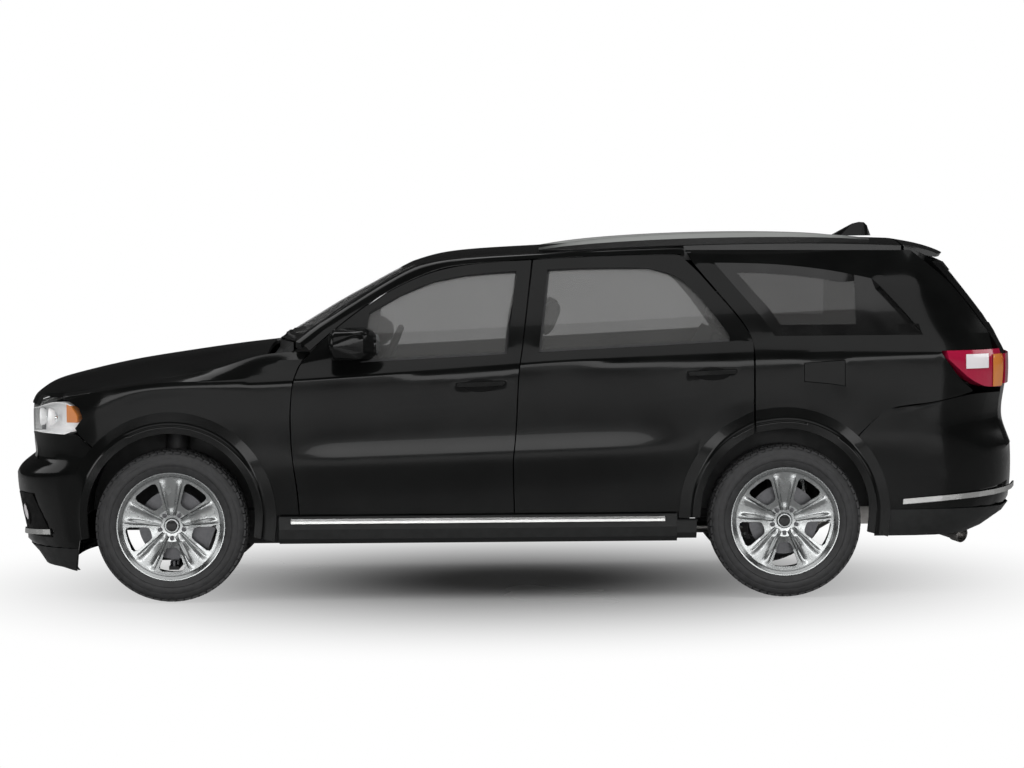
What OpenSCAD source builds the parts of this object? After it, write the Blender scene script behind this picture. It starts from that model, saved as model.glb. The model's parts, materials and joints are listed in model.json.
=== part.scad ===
// Sport utility vehicle with five doors, three seat rows and steered front wheels.
// Frame: X to the rear, Y to the vehicle's right, Z up, ground at Z = 0, middle of the length at X = 0.
// Sizes are in millimetres.

/* [Overall] */
// Distance between the front and rear axles
wheelbase = 3042; // [2980:1:3120]
// From the front axle forward to the tip of the bumper
front_overhang = 860; // [830:1:890]
// From the rear axle back to the end of the bumper
rear_overhang = 1208; // [1170:1:1250]
// Half of the body's width at the doors' lower crease
body_half_width = 945; // [930:1:960]
// Half of the distance between the middles of a pair of wheels
half_track = 812; // [800:1:820]
// Height of the roof skin at its highest line
roof_height = 1784; // [1775:1:1800]

/* [Wheels] */
// Outer radius of the tyre
tyre_radius = 378; // [370:1:384]
// Width of the tyre
tyre_width = 265; // [245:1:275]
// Outer radius of the rim flange
rim_radius = 272; // [262:1:278]
// Radius of the brake disc
disc_radius = 172; // [160:1:180]
// Radius of the circle of wheel nuts
nut_circle_radius = 63.5; // [57:0.5:70]
// Radius of one wheel nut
nut_radius = 11; // [9:0.5:12]
// Height of the middle of the wheel arches
arch_height = 424; // [415:1:440]
// Radius of the arch opening
arch_radius = 426; // [424:1:440]
// Width of the flat lip round an arch opening
lip_width = 34; // [25:1:40]
// Width of the sloped band outside the lip
band_width = 66; // [50:1:75]
// How far the lip stands out from the body side
flare_depth = 20; // [12:1:26]

/* [Body lines] */
// Height of the bottom of the side windows at the middle of the length
belt_height = 1219; // [1205:1:1230]
// Rise of the window bottom line for each millimetre to the rear
belt_rise = 0.047; // [0.03:0.001:0.06]
// Height of the crease low on the doors at the middle of the length
crease_height = 710; // [690:1:730]
// Rise of the crease for each millimetre to the rear
crease_rise = 0.03; // [0.02:0.001:0.04]
// Lean of the side windows at the belt, inward for each millimetre up
window_lean = 0.22; // [0.18:0.01:0.25]
// Lower edge of the doors
door_bottom = 428; // [420:1:436]
// From the front axle back to the split between the doors
split_offset = 1725; // [1700:1:1750]
// From the front axle back to the hood's rear edge
hood_rear_offset = 480; // [465:1:490]

/* [Panels] */
// Gap round doors and lids
shut_gap = 6; // [5:0.5:8]
// Thickness of a door below its window
door_thickness = 105; // [90:1:120]
// Thickness of a door's window frame
frame_thickness = 42; // [34:1:50]
// Thickness of a door at its edges
edge_thickness = 30; // [24:1:36]
// Thickness of the other body panels
panel_thickness = 22; // [16:1:28]
// Thickness of the glass
glass_thickness = 6; // [4:0.5:8]
// Gap between pieces that rest against each other
seat_gap = 0.3; // [0.2:0.05:0.5]

/* [Cabin] */
// Height of the cabin floor's top
floor_top = 470; // [450:1:490]
// Thickness of the floor
floor_thickness = 60; // [45:1:70]
// Height of the front seat cushions' top
seat_height = 800; // [770:1:830]
// Width of a front seat
seat_width = 520; // [480:1:540]
// Radius of the steering wheel's rim
steering_wheel_radius = 185; // [175:1:195]

/* [Output] */
// Which node to make

/* [Hidden] */
length = front_overhang + wheelbase + rear_overhang;
nose_tip = -length / 2;
tail_tip = length / 2;
front_axle = nose_tip + front_overhang;
rear_axle = tail_tip - rear_overhang;
split_x = front_axle + split_offset;
nose_start = front_axle - 105;
nose_power = 3;
tail_start = rear_axle + 285;
tail_power = 4;
hood_rear = front_axle + hood_rear_offset;
roof_rear = tail_tip - 600;
rail_half = body_half_width - 290;
roof_drawn = 1784;
kingpin_half = half_track - 25;
hub_z = tyre_radius;
flare_radius = arch_radius + lip_width + band_width;
panel_arch = arch_radius + 9;
cowl_x = front_axle + 506;

// Height and setback from the nose tip of the front's middle line
NOSE = [[140, 250], [152, 172], [180, 134], [244, 99], [285, 52], [330, 51], [400, 37], [483, 17],
    [571, 5], [613, 0], [645, 9], [672, 46], [700, 84], [722, 90], [793, 84], [900, 81], [960, 84],
    [1000, 98], [1040, 138], [1070, 182]];
// Height and distance ahead of the tail tip of the rear's middle line
TAIL = [[300, 225], [335, 137], [386, 58], [422, 22], [470, 6], [600, 0], [707, 0], [759, 17], [821, 42],
    [863, 57], [941, 53], [1000, 37], [1122, 27], [1194, 32], [1236, 58], [1340, 110], [1481, 214],
    [1617, 319], [1700, 385]];
// Distance behind the front axle and height of the shoulder line
SHOULDER = [[-430, 1039], [-233, 1072], [-85, 1088], [63, 1096], [457, 1100], [655, 1108], [1195, 1140],
    [1695, 1172], [1937, 1190], [2627, 1203], [3366, 1209], [3761, 1213]];
// Distance behind the door split and height of the front door's top edge
FRONT_TOP = [[-1021, 1243], [-960, 1305], [-880, 1372], [-806, 1428], [-681, 1513], [-582, 1567],
    [-482, 1611],
    [-383, 1645], [-284, 1662], [-184, 1671], [-85, 1678], [84, 1685]];
// Distance behind the rear axle and height of the rear door's top edge
REAR_TOP = [[-1232, 1687], [-1103, 1693], [-704, 1704], [-554, 1706], [-505, 1703], [-470, 1685],
    [-405, 1605],
    [-305, 1489], [-231, 1404], [-181, 1338], [-156, 1290], [-140, 1272]];
// Distance behind the rear axle and height of the rear door window's top
REAR_GLASS_TOP = [[-1232, 1626], [-1103, 1636], [-900, 1640], [-607, 1638], [-557, 1630], [-497, 1590],
    [-407, 1491], [-347, 1416], [-298, 1346], [-273, 1298]];
// Height and distance behind the front axle of the front door's front edge
DOOR_FRONT = [[400, 640], [551, 630], [650, 615], [798, 600], [897, 598], [995, 600], [1069, 610],
    [1143, 635],
    [1185, 656], [1241, 704]];
// Height and distance behind the door split of the gap between the doors
DOOR_SPLIT = [[400, -20], [616, -24], [700, -26], [764, -14], [837, -5], [985, 0], [1133, 8], [1215, 22],
    [1330, 45], [1523, 66], [1690, 84]];
// Distance behind the nose tip and height of the hood's middle line
HOOD = [[92, 974], [96, 990], [108, 1012], [140, 1040], [165, 1062], [225, 1087], [328, 1112], [535, 1162],
    [638, 1179], [845, 1209], [1051, 1238], [1258, 1262], [1340, 1268]];
// Height and distance behind the cowl of the windscreen's middle line
SCREEN = [[1255, -45], [1285, 0], [1343, 89], [1403, 193], [1469, 297], [1524, 402], [1580, 506],
    [1638, 610],
    [1668, 678]];
// Distance behind the cowl and height below the roof's top of the roof's middle line
ROOF = [[664, 119], [730, 96], [825, 70], [930, 57], [1089, 46], [1338, 36], [1640, 20], [1990, 8],
    [2390, 1], [2790, 0], [3060, 5], [3190, 22]];

// Value at x of the smooth curve through the points [x, value]
function slope_at(t, i) =
    let (a = max(i - 1, 0), b = min(i + 1, len(t) - 1))
    (t[b][1] - t[a][1]) / (t[b][0] - t[a][0]);
function piece(t, i, x) =
    let (h = t[i + 1][0] - t[i][0], u = (x - t[i][0]) / h, v = 1 - u)
    t[i][1] * (1 + 2 * u) * v * v + t[i + 1][1] * (1 + 2 * v) * u * u
    + h * (slope_at(t, i) * u * v * v - slope_at(t, i + 1) * v * u * u);
function curve(t, x) =
    let (n = len(t) - 1)
    x <= t[0][0] ? t[0][1]
    : x >= t[n][0] ? t[n][1]
    : piece(t, [for (k = [0:n - 1]) if (x < t[k + 1][0]) k][0], x);
function mix(a, b, u) = a + (b - a) * u;
function clamp(v, lo, hi) = min(max(v, lo), hi);
function blunt(u, p) = pow(max(1 - pow(clamp(u, 0, 1), p), 0), 1 / p);

// Lines along the body
function belt_z(x) = belt_height + belt_rise * x;
function lifted(z, x) =
    let (b = belt_z(x))
    z <= b ? z : b + (z - b) * (roof_height - b) / (roof_drawn - b);
function drawn(z, x) =
    let (b = belt_z(x))
    z <= b ? z : b + (z - b) * (roof_drawn - b) / (roof_height - b);
function crease_z(x) = crease_height + crease_rise * x;
function crease_share(x) = clamp((x - front_axle - 500) / 250, 0, 1) * clamp((rear_axle - 480 - x) / 250,
    0, 1);
function shoulder_z(x) = curve(SHOULDER, x - front_axle);
function nose_x(z) = nose_tip + max(curve(NOSE, z), 0);
function tail_x(z) = tail_tip - max(curve(TAIL, drawn(z, tail_tip)), 0);
function door_top(x) =
    lifted(x < split_x + 84 ? curve(FRONT_TOP, x - split_x) : curve(REAR_TOP, x - rear_axle), x);
function roof_z(x) = roof_height - curve(ROOF, x - cowl_x);
function roof_at(x, y) = roof_z(x) - 34 * pow(abs(y) / rail_half, 2.4);
function arch_reach(z) =
    z > arch_height ? sqrt(max(pow(panel_arch, 2) - pow(z - arch_height, 2), 0))
    : panel_arch + 0.2 * (arch_height - z);
function arch_top(dx) = arch_height + sqrt(max(pow(panel_arch, 2) - pow(dx, 2), 0));

// Half width of the body at a place along it and a height
function window_half(x) =
    body_half_width - curve([[-507, 90], [790, 54], [1695, 40], [2895, 40], [3700, 54], [4100, 74]],
        x - front_axle);
function cabin_half(x, z) =
    let (h = drawn(z, x) - belt_z(x))
    window_half(x) - window_lean * h - 0.0003 * h * h;
function section_half(x, z) =
    let (zc = crease_z(x), zs = shoulder_z(x), zb = belt_z(x), a = crease_share(x), w = body_half_width)
    z >= zb ? cabin_half(x, z)
    : curve([[140, w - 92], [300, w - 56], [door_bottom, w - 40], [zc - 110, w - 25], [zc, w - 12 + 12 * a],
        [zc + 70, w - 11], [(zc + zs) / 2 + 20, w - 12], [zs - 60, w - 7], [zs, w - 9],
        [zb, cabin_half(x, zb)]], z);
function side_half(x, z) =
    section_half(x, z)
    * (x < nose_start ? blunt((nose_start - x) / (nose_start - nose_x(z)), nose_power) : 1)
    * (x > tail_start ? blunt((x - tail_start) / (tail_x(z) - tail_start), tail_power) : 1);
function skin(x, z) = [x, -side_half(x, z), z];

// Points of the rounded nose and tail at an angle from straight ahead or straight back
function round_share(a, p) = pow(pow(cos(a), p) + pow(abs(sin(a)), p), 1 / p);
function nose_point(a, z, d) =
    let (k = round_share(a, nose_power), w = section_half(nose_start, z) - d,
        l = nose_start - nose_x(z) - d)
    [nose_start - l * cos(a) / k, w * sin(a) / k, z];
function nose_angle(x, z) =
    let (u = (nose_start - x) / (nose_start - nose_x(z)))
    atan2(blunt(u, nose_power), u);
function nose_angle_at(y, z) =
    let (v = y / section_half(nose_start, z))
    atan2(v, blunt(abs(v), nose_power));
function tail_point(a, z, d) =
    let (k = round_share(a, tail_power), w = section_half(tail_start, z) - d,
        l = tail_x(z) - tail_start - d)
    [tail_start + l * cos(a) / k, w * sin(a) / k, z];
function tail_angle(x, z) =
    let (u = (x - tail_start) / (tail_x(z) - tail_start))
    atan2(blunt(u, tail_power), u);
function tail_angle_at(y, z) =
    let (v = y / section_half(tail_start, z))
    atan2(v, blunt(abs(v), tail_power));

// Closed shell between two grids of points, open where keep(i, j) is false
module shell(outer, inner, keep = function(i, j) true) {
    n = len(outer);
    m = len(outer[0]);
    has = function(i, j) i >= 0 && j >= 0 && i < n - 1 && j < m - 1 && keep(i, j);
    a = function(i, j) i * m + j;
    b = function(i, j) n * m + i * m + j;
    polyhedron(
        concat([for (c = outer) for (p = c) p], [for (c = inner) for (p = c) p]),
        [for (i = [0:n - 2]) for (j = [0:m - 2]) if (has(i, j)) each concat(
            [[a(i, j), a(i, j + 1), a(i + 1, j + 1), a(i + 1, j)]],
            [[b(i, j), b(i + 1, j), b(i + 1, j + 1), b(i, j + 1)]],
            has(i - 1, j) ? [] : [[b(i, j), b(i, j + 1), a(i, j + 1), a(i, j)]],
            has(i + 1, j) ? [] : [[a(i + 1, j), a(i + 1, j + 1), b(i + 1, j + 1), b(i + 1, j)]],
            has(i, j - 1) ? [] : [[a(i, j), a(i + 1, j), b(i + 1, j), b(i, j)]],
            has(i, j + 1) ? [] : [[a(i + 1, j + 1), a(i, j + 1), b(i, j + 1), b(i + 1, j + 1)]])],
        convexity = 8);
}
function moved(grid, by) = [for (c = grid) [for (p = c) p + by]];
module right_side() {
    mirror([0, 1, 0]) children();
}
module both_sides() {
    children();
    right_side() children();
}
module turned_to_axle() {
    rotate([90, 0, 0]) children();
}

// Rows of heights up a door's lower part at a place along the body
function door_rows(x, bottom) =
    let (zc = crease_z(x), zs = shoulder_z(x), top = zs - 60, k = (top - bottom) / (top - door_bottom))
    concat([for (z = [door_bottom, 500, zc - 110, zc, zc + 70, (zc + zs) / 2 + 20, top])
        bottom + (z - door_bottom) * k], [zs, belt_z(x)]);
function door_column(xs, xt, zs, glass_top) =
    let (n = len(zs) - 1, xb = xs[n], zb = zs[n], zt = door_top(xt) - shut_gap, zw = min(glass_top,
        zt - 12))
    concat([for (j = [0:n]) skin(xs[j], zs[j])],
        [for (z = [mix(zb, zw, 1 / 3), mix(zb, zw, 2 / 3), zw, zt]) skin(mix(xb, xt,
            (z - zb) / (zt - zb)), z)]);
function door_depth(i, j, n) =
    j >= 8 ? frame_thickness : (i == 0 || i == n || j == 0) ? edge_thickness : door_thickness;
function door_inner(grid) =
    let (n = len(grid) - 1)
    [for (i = [0:n]) [for (j = [0:len(grid[i]) - 1]) grid[i][j] + [0, door_depth(i, j, n), 0]]];

FRONT_SHARES = [0, 0.05, 0.16, 0.27, 0.4, 0.55, 0.7, 0.85, 0.935, 1];
function front_door_x(s, z) =
    mix(front_axle + curve(DOOR_FRONT, z), split_x + curve(DOOR_SPLIT, z) - shut_gap, s);
function front_door_column(s) =
    let (xm = front_door_x(s, 900), zs = door_rows(xm, door_bottom), xs = [for (z = zs) front_door_x(s, z)],
        xt = xs[8] + 55)
    door_column(xs, xt, zs, door_top(xt) - 56);
function front_door_grid() = [for (s = FRONT_SHARES) front_door_column(s)];
module front_door_panel() {
    grid = front_door_grid();
    color("dimgray") shell(grid, door_inner(grid), function(i, j) !(i >= 3 && i < 8 && j >= 8 && j < 11));
    color("dimgray") handle(split_x - 185, 1068);
}
module front_door_window() {
    grid = front_door_grid();
    pane = [for (i = [3:8]) [for (j = [8:11]) grid[i][j]]];
    window_pane(pane);
}
module window_pane(pane) {
    n = len(pane) - 1;
    m = len(pane[0]) - 1;
    cz = pane[0][0][2];
    d = frame_thickness / 2;
    edge = seat_gap;
    fitted = [for (i = [0:n]) [for (j = [0:m]) pane[i][j]
        + [i == 0 ? edge : i == n ? -edge : 0, d, j == 0 ? edge : j == m ? -edge : 0]]];
    color("slategray") shell(fitted, moved(fitted, [0, glass_thickness, 0]));
}
module handle(x, z) {
    w = 250;
    h = 34;
    y = side_half(x, z);
    translate([x - w / 2, -y - 18, z]) rotate([0, 0, 0]) hull() {
        translate([h / 2, 0, 0]) rotate([-90, 0, 0]) cylinder(h = 40, r1 = h / 2 - 6, r2 = h / 2, $fn = 16);
        translate([w - h / 2, 0, 8]) rotate([-90, 0, 0]) cylinder(h = 40, r1 = h / 2 - 6, r2 = h / 2,
            $fn = 16);
    }
}

REAR_SPOTS = [0.07, 0.22, 0.38, 0.54, 0.68];
function rear_door_xs() =
    let (a = split_x, b = rear_axle - panel_arch - 8)
    concat([0], [for (k = REAR_SPOTS) mix(a, b, k / 0.76) - a], [b - a, rear_axle - 412 - a,
        rear_axle - 358 - a,
        rear_axle - 273 - a, rear_axle - 205 - a, rear_axle - 146 - shut_gap - a]);
function rear_bottom(x) = x > rear_axle - panel_arch ? arch_top(rear_axle - x) : door_bottom;
function rear_door_column(k, n, d) =
    let (x = split_x + d, s = d / (rear_axle - 146 - split_x), zs = door_rows(x, rear_bottom(x)),
        xs = [for (z = zs) x + (1 - s) * curve(DOOR_SPLIT, z)], xt = xs[8] + 58 * (1 - s))
    door_column(xs, xt, zs, lifted(curve(REAR_GLASS_TOP, xt - rear_axle), xt));
function rear_door_grid() =
    let (ds = rear_door_xs())
    [for (k = [0:len(ds) - 1]) rear_door_column(k, len(ds) - 1, ds[k])];
module rear_door_panel() {
    grid = rear_door_grid();
    color("dimgray") shell(grid, door_inner(grid), function(i, j) !(i >= 1 && i < 9 && j >= 8 && j < 11));
    color("dimgray") handle(rear_axle - 357, 1115);
    color("dimgray") rear_door_flare();
}
module rear_door_window() {
    grid = rear_door_grid();
    window_pane([for (i = [1:9]) [for (j = [8:11]) grid[i][j]]]);
}

module front_door_left() {
    front_door_panel();
}
module front_door_right() {
    right_side() front_door_panel();
}
module rear_door_left() {
    rear_door_panel();
}
module rear_door_right() {
    right_side() rear_door_panel();
}
module front_window_left() {
    front_door_window();
}
module front_window_right() {
    right_side() front_door_window();
}
module rear_window_left() {
    rear_door_window();
}
module rear_window_right() {
    right_side() rear_door_window();
}

// Front fender between the bumper, the hood and the front door
FENDER_SPOTS = [-160, -55, 55, 165, 265, 340, 392, 424, 520];
function hood_edge_half(x) =
    body_half_width - curve([[120, 345], [225, 245], [400, 167], [600, 143], [1100, 139], [1340, 145]],
        x - nose_tip);
function hood_edge_z(x) =
    curve([[140, 1004], [225, 1018], [430, 1052], [627, 1084], [775, 1103], [923, 1119], [1009, 1134],
        [1108, 1157], [1173, 1181], [1300, 1218], [1400, 1236]], x - nose_tip);
function fender_front(z) = front_axle - lookup(z, [[715, 300], [854, 495], [880, 450], [920, 432],
    [962, 444],
    [995, 480], [1020, 540]]);
function fender_bottom(dx) = dx > 423 ? door_bottom : arch_top(dx);
FENDER_TOP = [0.4, 0.72, 1];
function fender_z(dx, j) =
    let (x = front_axle + dx, zs = shoulder_z(x), b = fender_bottom(dx))
    j < 6 ? mix(b, zs - 26, j / 5) : j == 6 ? zs : mix(zs, hood_edge_z(x), FENDER_TOP[j - 7]);
function fender_point(x, z, j) =
    let (k = j < 7 ? 0 : FENDER_TOP[j - 7], h = hood_edge_half(x) + shut_gap,
        near = clamp((x - front_axle - 330) / 200, 0, 1),
        top = [x, -mix(side_half(x, shoulder_z(x)), h, k), mix(shoulder_z(x), hood_edge_z(x), pow(k, 0.7))])
    j <= 6 ? skin(x, z) : j == 9 ? [x, -h, hood_edge_z(x)] : mix(top, skin(x, z), near);
function fender_lead() = [for (j = [0:9]) let (z = j < 7 ? mix(715, 1018, j / 6) : 1018 + (j - 6) * 3,
    x = fender_front(z))
    j <= 6 ? skin(x, z)
    : [x, -mix(side_half(x, 1018), hood_edge_half(x) + shut_gap, FENDER_TOP[j - 7]),
        hood_edge_z(x) - (9 - j) * 3]];
function fender_blend(k) =
    let (a = fender_lead(), dx = FENDER_SPOTS[0])
    [for (j = [0:9]) let (x = mix(a[j][0], front_axle + dx, k), z = mix(a[j][2], fender_z(dx, j), k),
        b = j == 0 ? arch_top(x - front_axle) : z) fender_point(x, b, j)];
function fender_grid() = concat([fender_lead()], [fender_blend(0.3), fender_blend(0.62)],
    [for (dx = FENDER_SPOTS) [for (j = [0:9]) fender_point(front_axle + dx, fender_z(dx, j), j)]],
    [[for (j = [0:9]) let (z = fender_z(610, j), x = front_axle + curve(DOOR_FRONT,
        z) - shut_gap - (j > 6 ? 3 : 0))
        fender_point(x, z, j)]]);
module fender_panel() {
    grid = fender_grid();
    n = len(grid) - 1;
    inner = [for (i = [0:n]) [for (j = [0:9]) grid[i][j] + (j < 7 || (i == n && j < 9) ? [0,
        panel_thickness, 0]
        : [0, 0, -panel_thickness])]];
    color("dimgray") shell(grid, inner);
}
module front_fenders() {
    both_sides() fender_panel();
}

// Rear quarter panel with the pillars round the rear side window
QUARTER_SHARES = [0, 0.092, 0.2, 0.32, 0.3704, 0.4574, 0.536, 0.598, 0.716, 0.771, 0.8445, 0.9038, 1];
quarter_front = rear_axle - 143;
quarter_back = tail_tip - 155;
function quarter_x(s) = mix(quarter_front, quarter_back, s);
function quarter_bottom(x) =
    x < rear_axle + 300 ? arch_top(x - rear_axle)
    : lookup(x - rear_axle, [[300, 726], [404, 846], [498, 929], [572, 948], [720, 961], [867, 989],
        [938, 1011], [1060, 1005]]);
function lamp_low(x) = lookup(x - rear_axle, [[-150, 1150], [779, 1204], [876, 1066], [938, 1018],
    [1060, 1010]]);
function lamp_top(x) = 1216 + 0.01 * (x - rear_axle - 780);
function quarter_lead(z) = rear_axle + lookup(drawn(z, rear_axle), [[1290, -156], [1338, -181],
    [1404, -231], [1489, -305], [1605, -405],
    [1690, -470], [1750, -490]]) + shut_gap;
function quarter_wrap(z, s) =
    let (a = quarter_trail(z), b = tail_point(tail_angle_at(gate_half + shut_gap, z), z, 0)[0])
    mix(a, max(a, b), clamp((s - 0.716) / 0.284, 0, 1));
function quarter_trail(z) = tail_tip - lookup(drawn(z, rear_axle), [[1215, 155], [1300, 184],
    [1480, 350], [1648, 509], [1760, 590]]);
function quarter_window_top(s) = lifted(1662 - 84 * pow(s / 0.716, 3), rear_axle);
function quarter_column(s) =
    let (x = quarter_x(s), b = quarter_bottom(x), l = max(lamp_low(x), b + 4), t = max(lamp_top(x), l + 4),
        w = quarter_window_top(min(s, 0.716)), e = lifted(1722 - 10 * s, rear_axle))
    concat([for (k = [0, 0.35, 0.7, 1]) skin(x, mix(b, l, k))], [skin(x, t)],
        [for (z = concat([for (h = [1296, 1400, 1500]) lifted(h, rear_axle)],
            [w])) skin(mix(quarter_lead(z), quarter_wrap(z, s), s), z)],
        [[mix(quarter_lead(e), quarter_trail(e), s), -rail_half - 26, e]]);
module quarter_shape(filler) {
    grid = [for (s = QUARTER_SHARES) quarter_column(s)];
    n = len(grid) - 1;
    inner = [for (i = [0:n]) [for (p = grid[i]) p + (i < n ? [0, panel_thickness, 0] : [-panel_thickness,
        2, 0])]];
    color("dimgray") shell(grid, inner, function(i, j)
        !(i >= 1 && i < 8 && j >= 5 && j < 8) && !(i >= 9 && j == 3) && !(i >= 11 && j < 3)
        && !(filler && i >= 2 && i < 4 && j == 2));
}
module quarter_panels() {
    quarter_shape(true);
    right_side() quarter_shape(false);
}
module quarter_windows() {
    grid = [for (s = QUARTER_SHARES) quarter_column(s)];
    both_sides() window_pane([for (i = [1:8]) [for (j = [5:8]) grid[i][j] - [0, frame_thickness / 2 - 6,
        0]]]);
}

// Windscreen and the strips beside it and above the doors
screen_foot = 1288;
screen_head = roof_height - 120;
screen_foot_half = body_half_width - 145;
screen_head_half = rail_half - 7;
function screen_share(z) = (z - screen_foot) / (screen_head - screen_foot);
function screen_half(z) = mix(screen_foot_half, screen_head_half, screen_share(z));
function screen_point(z, y) =
    let (k = screen_share(z), back = curve(SCREEN, mix(screen_foot, roof_drawn - 120, k)))
    [cowl_x + back + mix(115, 62, k) * pow(y / screen_foot_half, 2), y, z];
module windscreen() {
    zs = [for (k = [0:7]) mix(screen_foot, screen_head, k / 7)];
    grid = [for (z = zs) [for (k = [-5:5]) screen_point(z, screen_half(z) * k / 5)]];
    color("slategray") shell(grid, moved(grid, [0.5, 0, -0.86] * glass_thickness));
}
function strip_top(k) = screen_point(mix(screen_foot - 4, screen_head, k),
    -screen_half(mix(screen_foot - 4, screen_head, k)) - 4);
function strip_column(low, high) =
    [for (k = [0, 0.35, 0.7, 1]) mix(low, high, k) + [0, -14, 10] * sin(180 * k)];
function strip_grid() = concat(
    [for (k = [0, 0.2, 0.4, 0.6, 0.8, 1]) let (top = strip_top(k), x = top[0] + mix(72, 4, k))
        strip_column(skin(x, door_top(x)), top)],
    [for (d = [-390, -310, -170, 40, 220, 420, 620, 770, 812, 834]) let (x = split_x + d)
        strip_column(skin(x, door_top(x)), [x, -rail_half - 4, roof_at(x, rail_half)])]);
module roof_strips() {
    grid = strip_grid();
    inner = [for (c = grid) [for (j = [0:3]) c[j] + (j < 2 ? [0, 38, -4] : [0, 3.4, -30])]];
    color("dimgray") both_sides() shell(grid, inner);
}
module roof_panel() {
    steps = [0, 0.03, 0.07, 0.13, 0.2, 0.3, 0.42, 0.56, 0.7, 0.85, 1];
    grid = [for (s = steps) [for (k = [-1, -0.82, -0.55, -0.25, 0, 0.25, 0.55, 0.82, 1])
        let (y = (rail_half + 0.2 - 12 * max(1 - s * 6, 0)) * k, x = mix(screen_point(screen_head,
            y)[0] + 5, roof_rear, s)) [x, y, roof_at(x, y)]]];
    color("dimgray") shell(grid, moved(grid, [0, 0, -panel_thickness - 10]));
}
module roof_rails() {
    x0 = split_x + 110;
    x1 = rear_axle + 445;
    n = 12;
    ring = function(x, k) let (e = sin(180 * k), z = roof_at(x, rail_half - 18) + seat_gap + 1, t = z
        + 8 + 46 * pow(e, 0.35))
        [[x, -rail_half - 14, z], [x, -rail_half - 18, mix(z, t, 0.6)], [x, -rail_half - 8, t],
        [x, -rail_half + 12, t - 2], [x, -rail_half + 18, mix(z, t, 0.6)], [x, -rail_half + 14, z - 0.5]];
    color("silver") both_sides() loft([for (i = [0:n]) ring(mix(x0, x1, i / n), mix(0.012, 0.988, i / n))]);
}
// Solid through closed rings of points, capped at both ends
module loft(rings) {
    n = len(rings);
    m = len(rings[0]);
    polyhedron([for (r = rings) for (p = r) p], concat(
        [for (i = [0:n - 2]) for (j = [0:m - 1])
            [i * m + j, i * m + (j + 1) % m, (i + 1) * m + (j + 1) % m, (i + 1) * m + j]],
        [[for (j = [m - 1:-1:0]) j]], [concat([n * m - 1], [for (j = [0:m - 2]) (n - 1) * m + j])]),
            convexity = 6);
}
module roof_fin() {
    x = tail_tip - 893;
    z = roof_at(x + 105, 0) - 2.5;
    color("dimgray") translate([x, 0, z]) hull() {
        translate([105, 0, 1]) scale([1, 0.34, 1]) cylinder(h = 2, r = 105, $fn = 24);
        translate([0, 3.5, 0]) rotate([90, 0, 0]) linear_extrude(height = 7)
            polygon([[4, 4], [52, 22], [84, 48], [115, 64], [150, 72], [176, 70], [192, 54], [204, 4]]);
    }
}

// Hood
HOOD_STEPS = [0, 0.012, 0.03, 0.06, 0.1, 0.17, 0.28, 0.42, 0.58, 0.74, 0.88, 1];
HOOD_SPREAD = [-1, -0.94, -0.78, -0.56, -0.44, -0.22, 0, 0.22, 0.44, 0.56, 0.78, 0.94, 1];
function hood_point(s, f) =
    let (xm = mix(nose_tip + 92, hood_rear, s), e = hood_edge_half(max(xm, nose_tip + 130)), y = f * e,
        back = (nose_start - nose_x(985)) * (1 - blunt(abs(y) / section_half(nose_start, 985), nose_power)),
        x = xm + back * pow(1 - s, 2),
        rise = 12 * clamp((0.56 - abs(f)) / 0.12, 0, 1) * clamp(s * 4, 0, 1) * clamp((1 - s) * 6, 0, 1),
        zc = curve(HOOD, xm - nose_tip) - 12 * clamp(s * 4, 0, 1) * clamp((1 - s) * 6, 0, 1),
            ze = hood_edge_z(max(x, nose_tip + 140)),
        drop = max(zc - ze, 0) * clamp(s * 12, 0, 1))
    [x, y, zc + rise - drop * pow(abs(f), 2.6)];
module hood() {
    grid = [for (s = HOOD_STEPS) [for (f = HOOD_SPREAD) hood_point(s, f)]];
    inner = [for (i = [0:len(grid) - 1]) moved([grid[i]], i < 3 ? [panel_thickness, 0, -4] : [0, 0,
        -panel_thickness])[0]];
    color("dimgray") shell(grid, inner);
}
module cowl_panel() {
    half = screen_foot_half - 20;
    ys = [for (k = [-5:5]) half * k / 5];
    grid = [for (i = [0:2]) [for (y = ys) let (s = screen_point(screen_foot - 6, y))
        i == 0 ? [hood_rear + 14, y, hood_edge_z(hood_rear) - 22 + 16 * (1 - pow(y / half, 2))]
        : i == 1 ? [mix(hood_rear + 14, s[0], 0.6), y, mix(hood_edge_z(hood_rear) - 6, s[2], 0.35)]
        : s + [-3, 0, 0]]];
    color("gray") shell(grid, moved(grid, [0, 0, -40]));
}

// Bumpers, grille and lamps
BUMPER_ROWS = [140, 165, 215, 285, 350, 430, 530, 613, 655, 700, 770, 834];
function bumper_end(z) = front_axle - (z > 715 ? lookup(z, [[715, 300], [854, 495]]) : arch_reach(z)) - 3;
function bumper_column(k, d) =
    [for (z = BUMPER_ROWS) nose_point(nose_angle(bumper_end(z), z) * k * (d > 0 ? 0.984 : 1), z, d)];
BUMPER_SPREAD = [1, 0.94, 0.85, 0.75, 0.65, 0.56, 0.46, 0.32, 0.16, 0, -0.16, -0.32, -0.46, -0.56, -0.65,
    -0.75, -0.85, -0.94, -1];
module front_bumper() {
    color("dimgray") shell([for (k = BUMPER_SPREAD) bumper_column(k, 0)],
        [for (k = BUMPER_SPREAD) bumper_column(k, panel_thickness)], function(i, j)
        !(i >= 5 && i < 13 && j >= 9) && !(i >= 6 && i < 12 && j >= 3 && j < 6));
}
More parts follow.
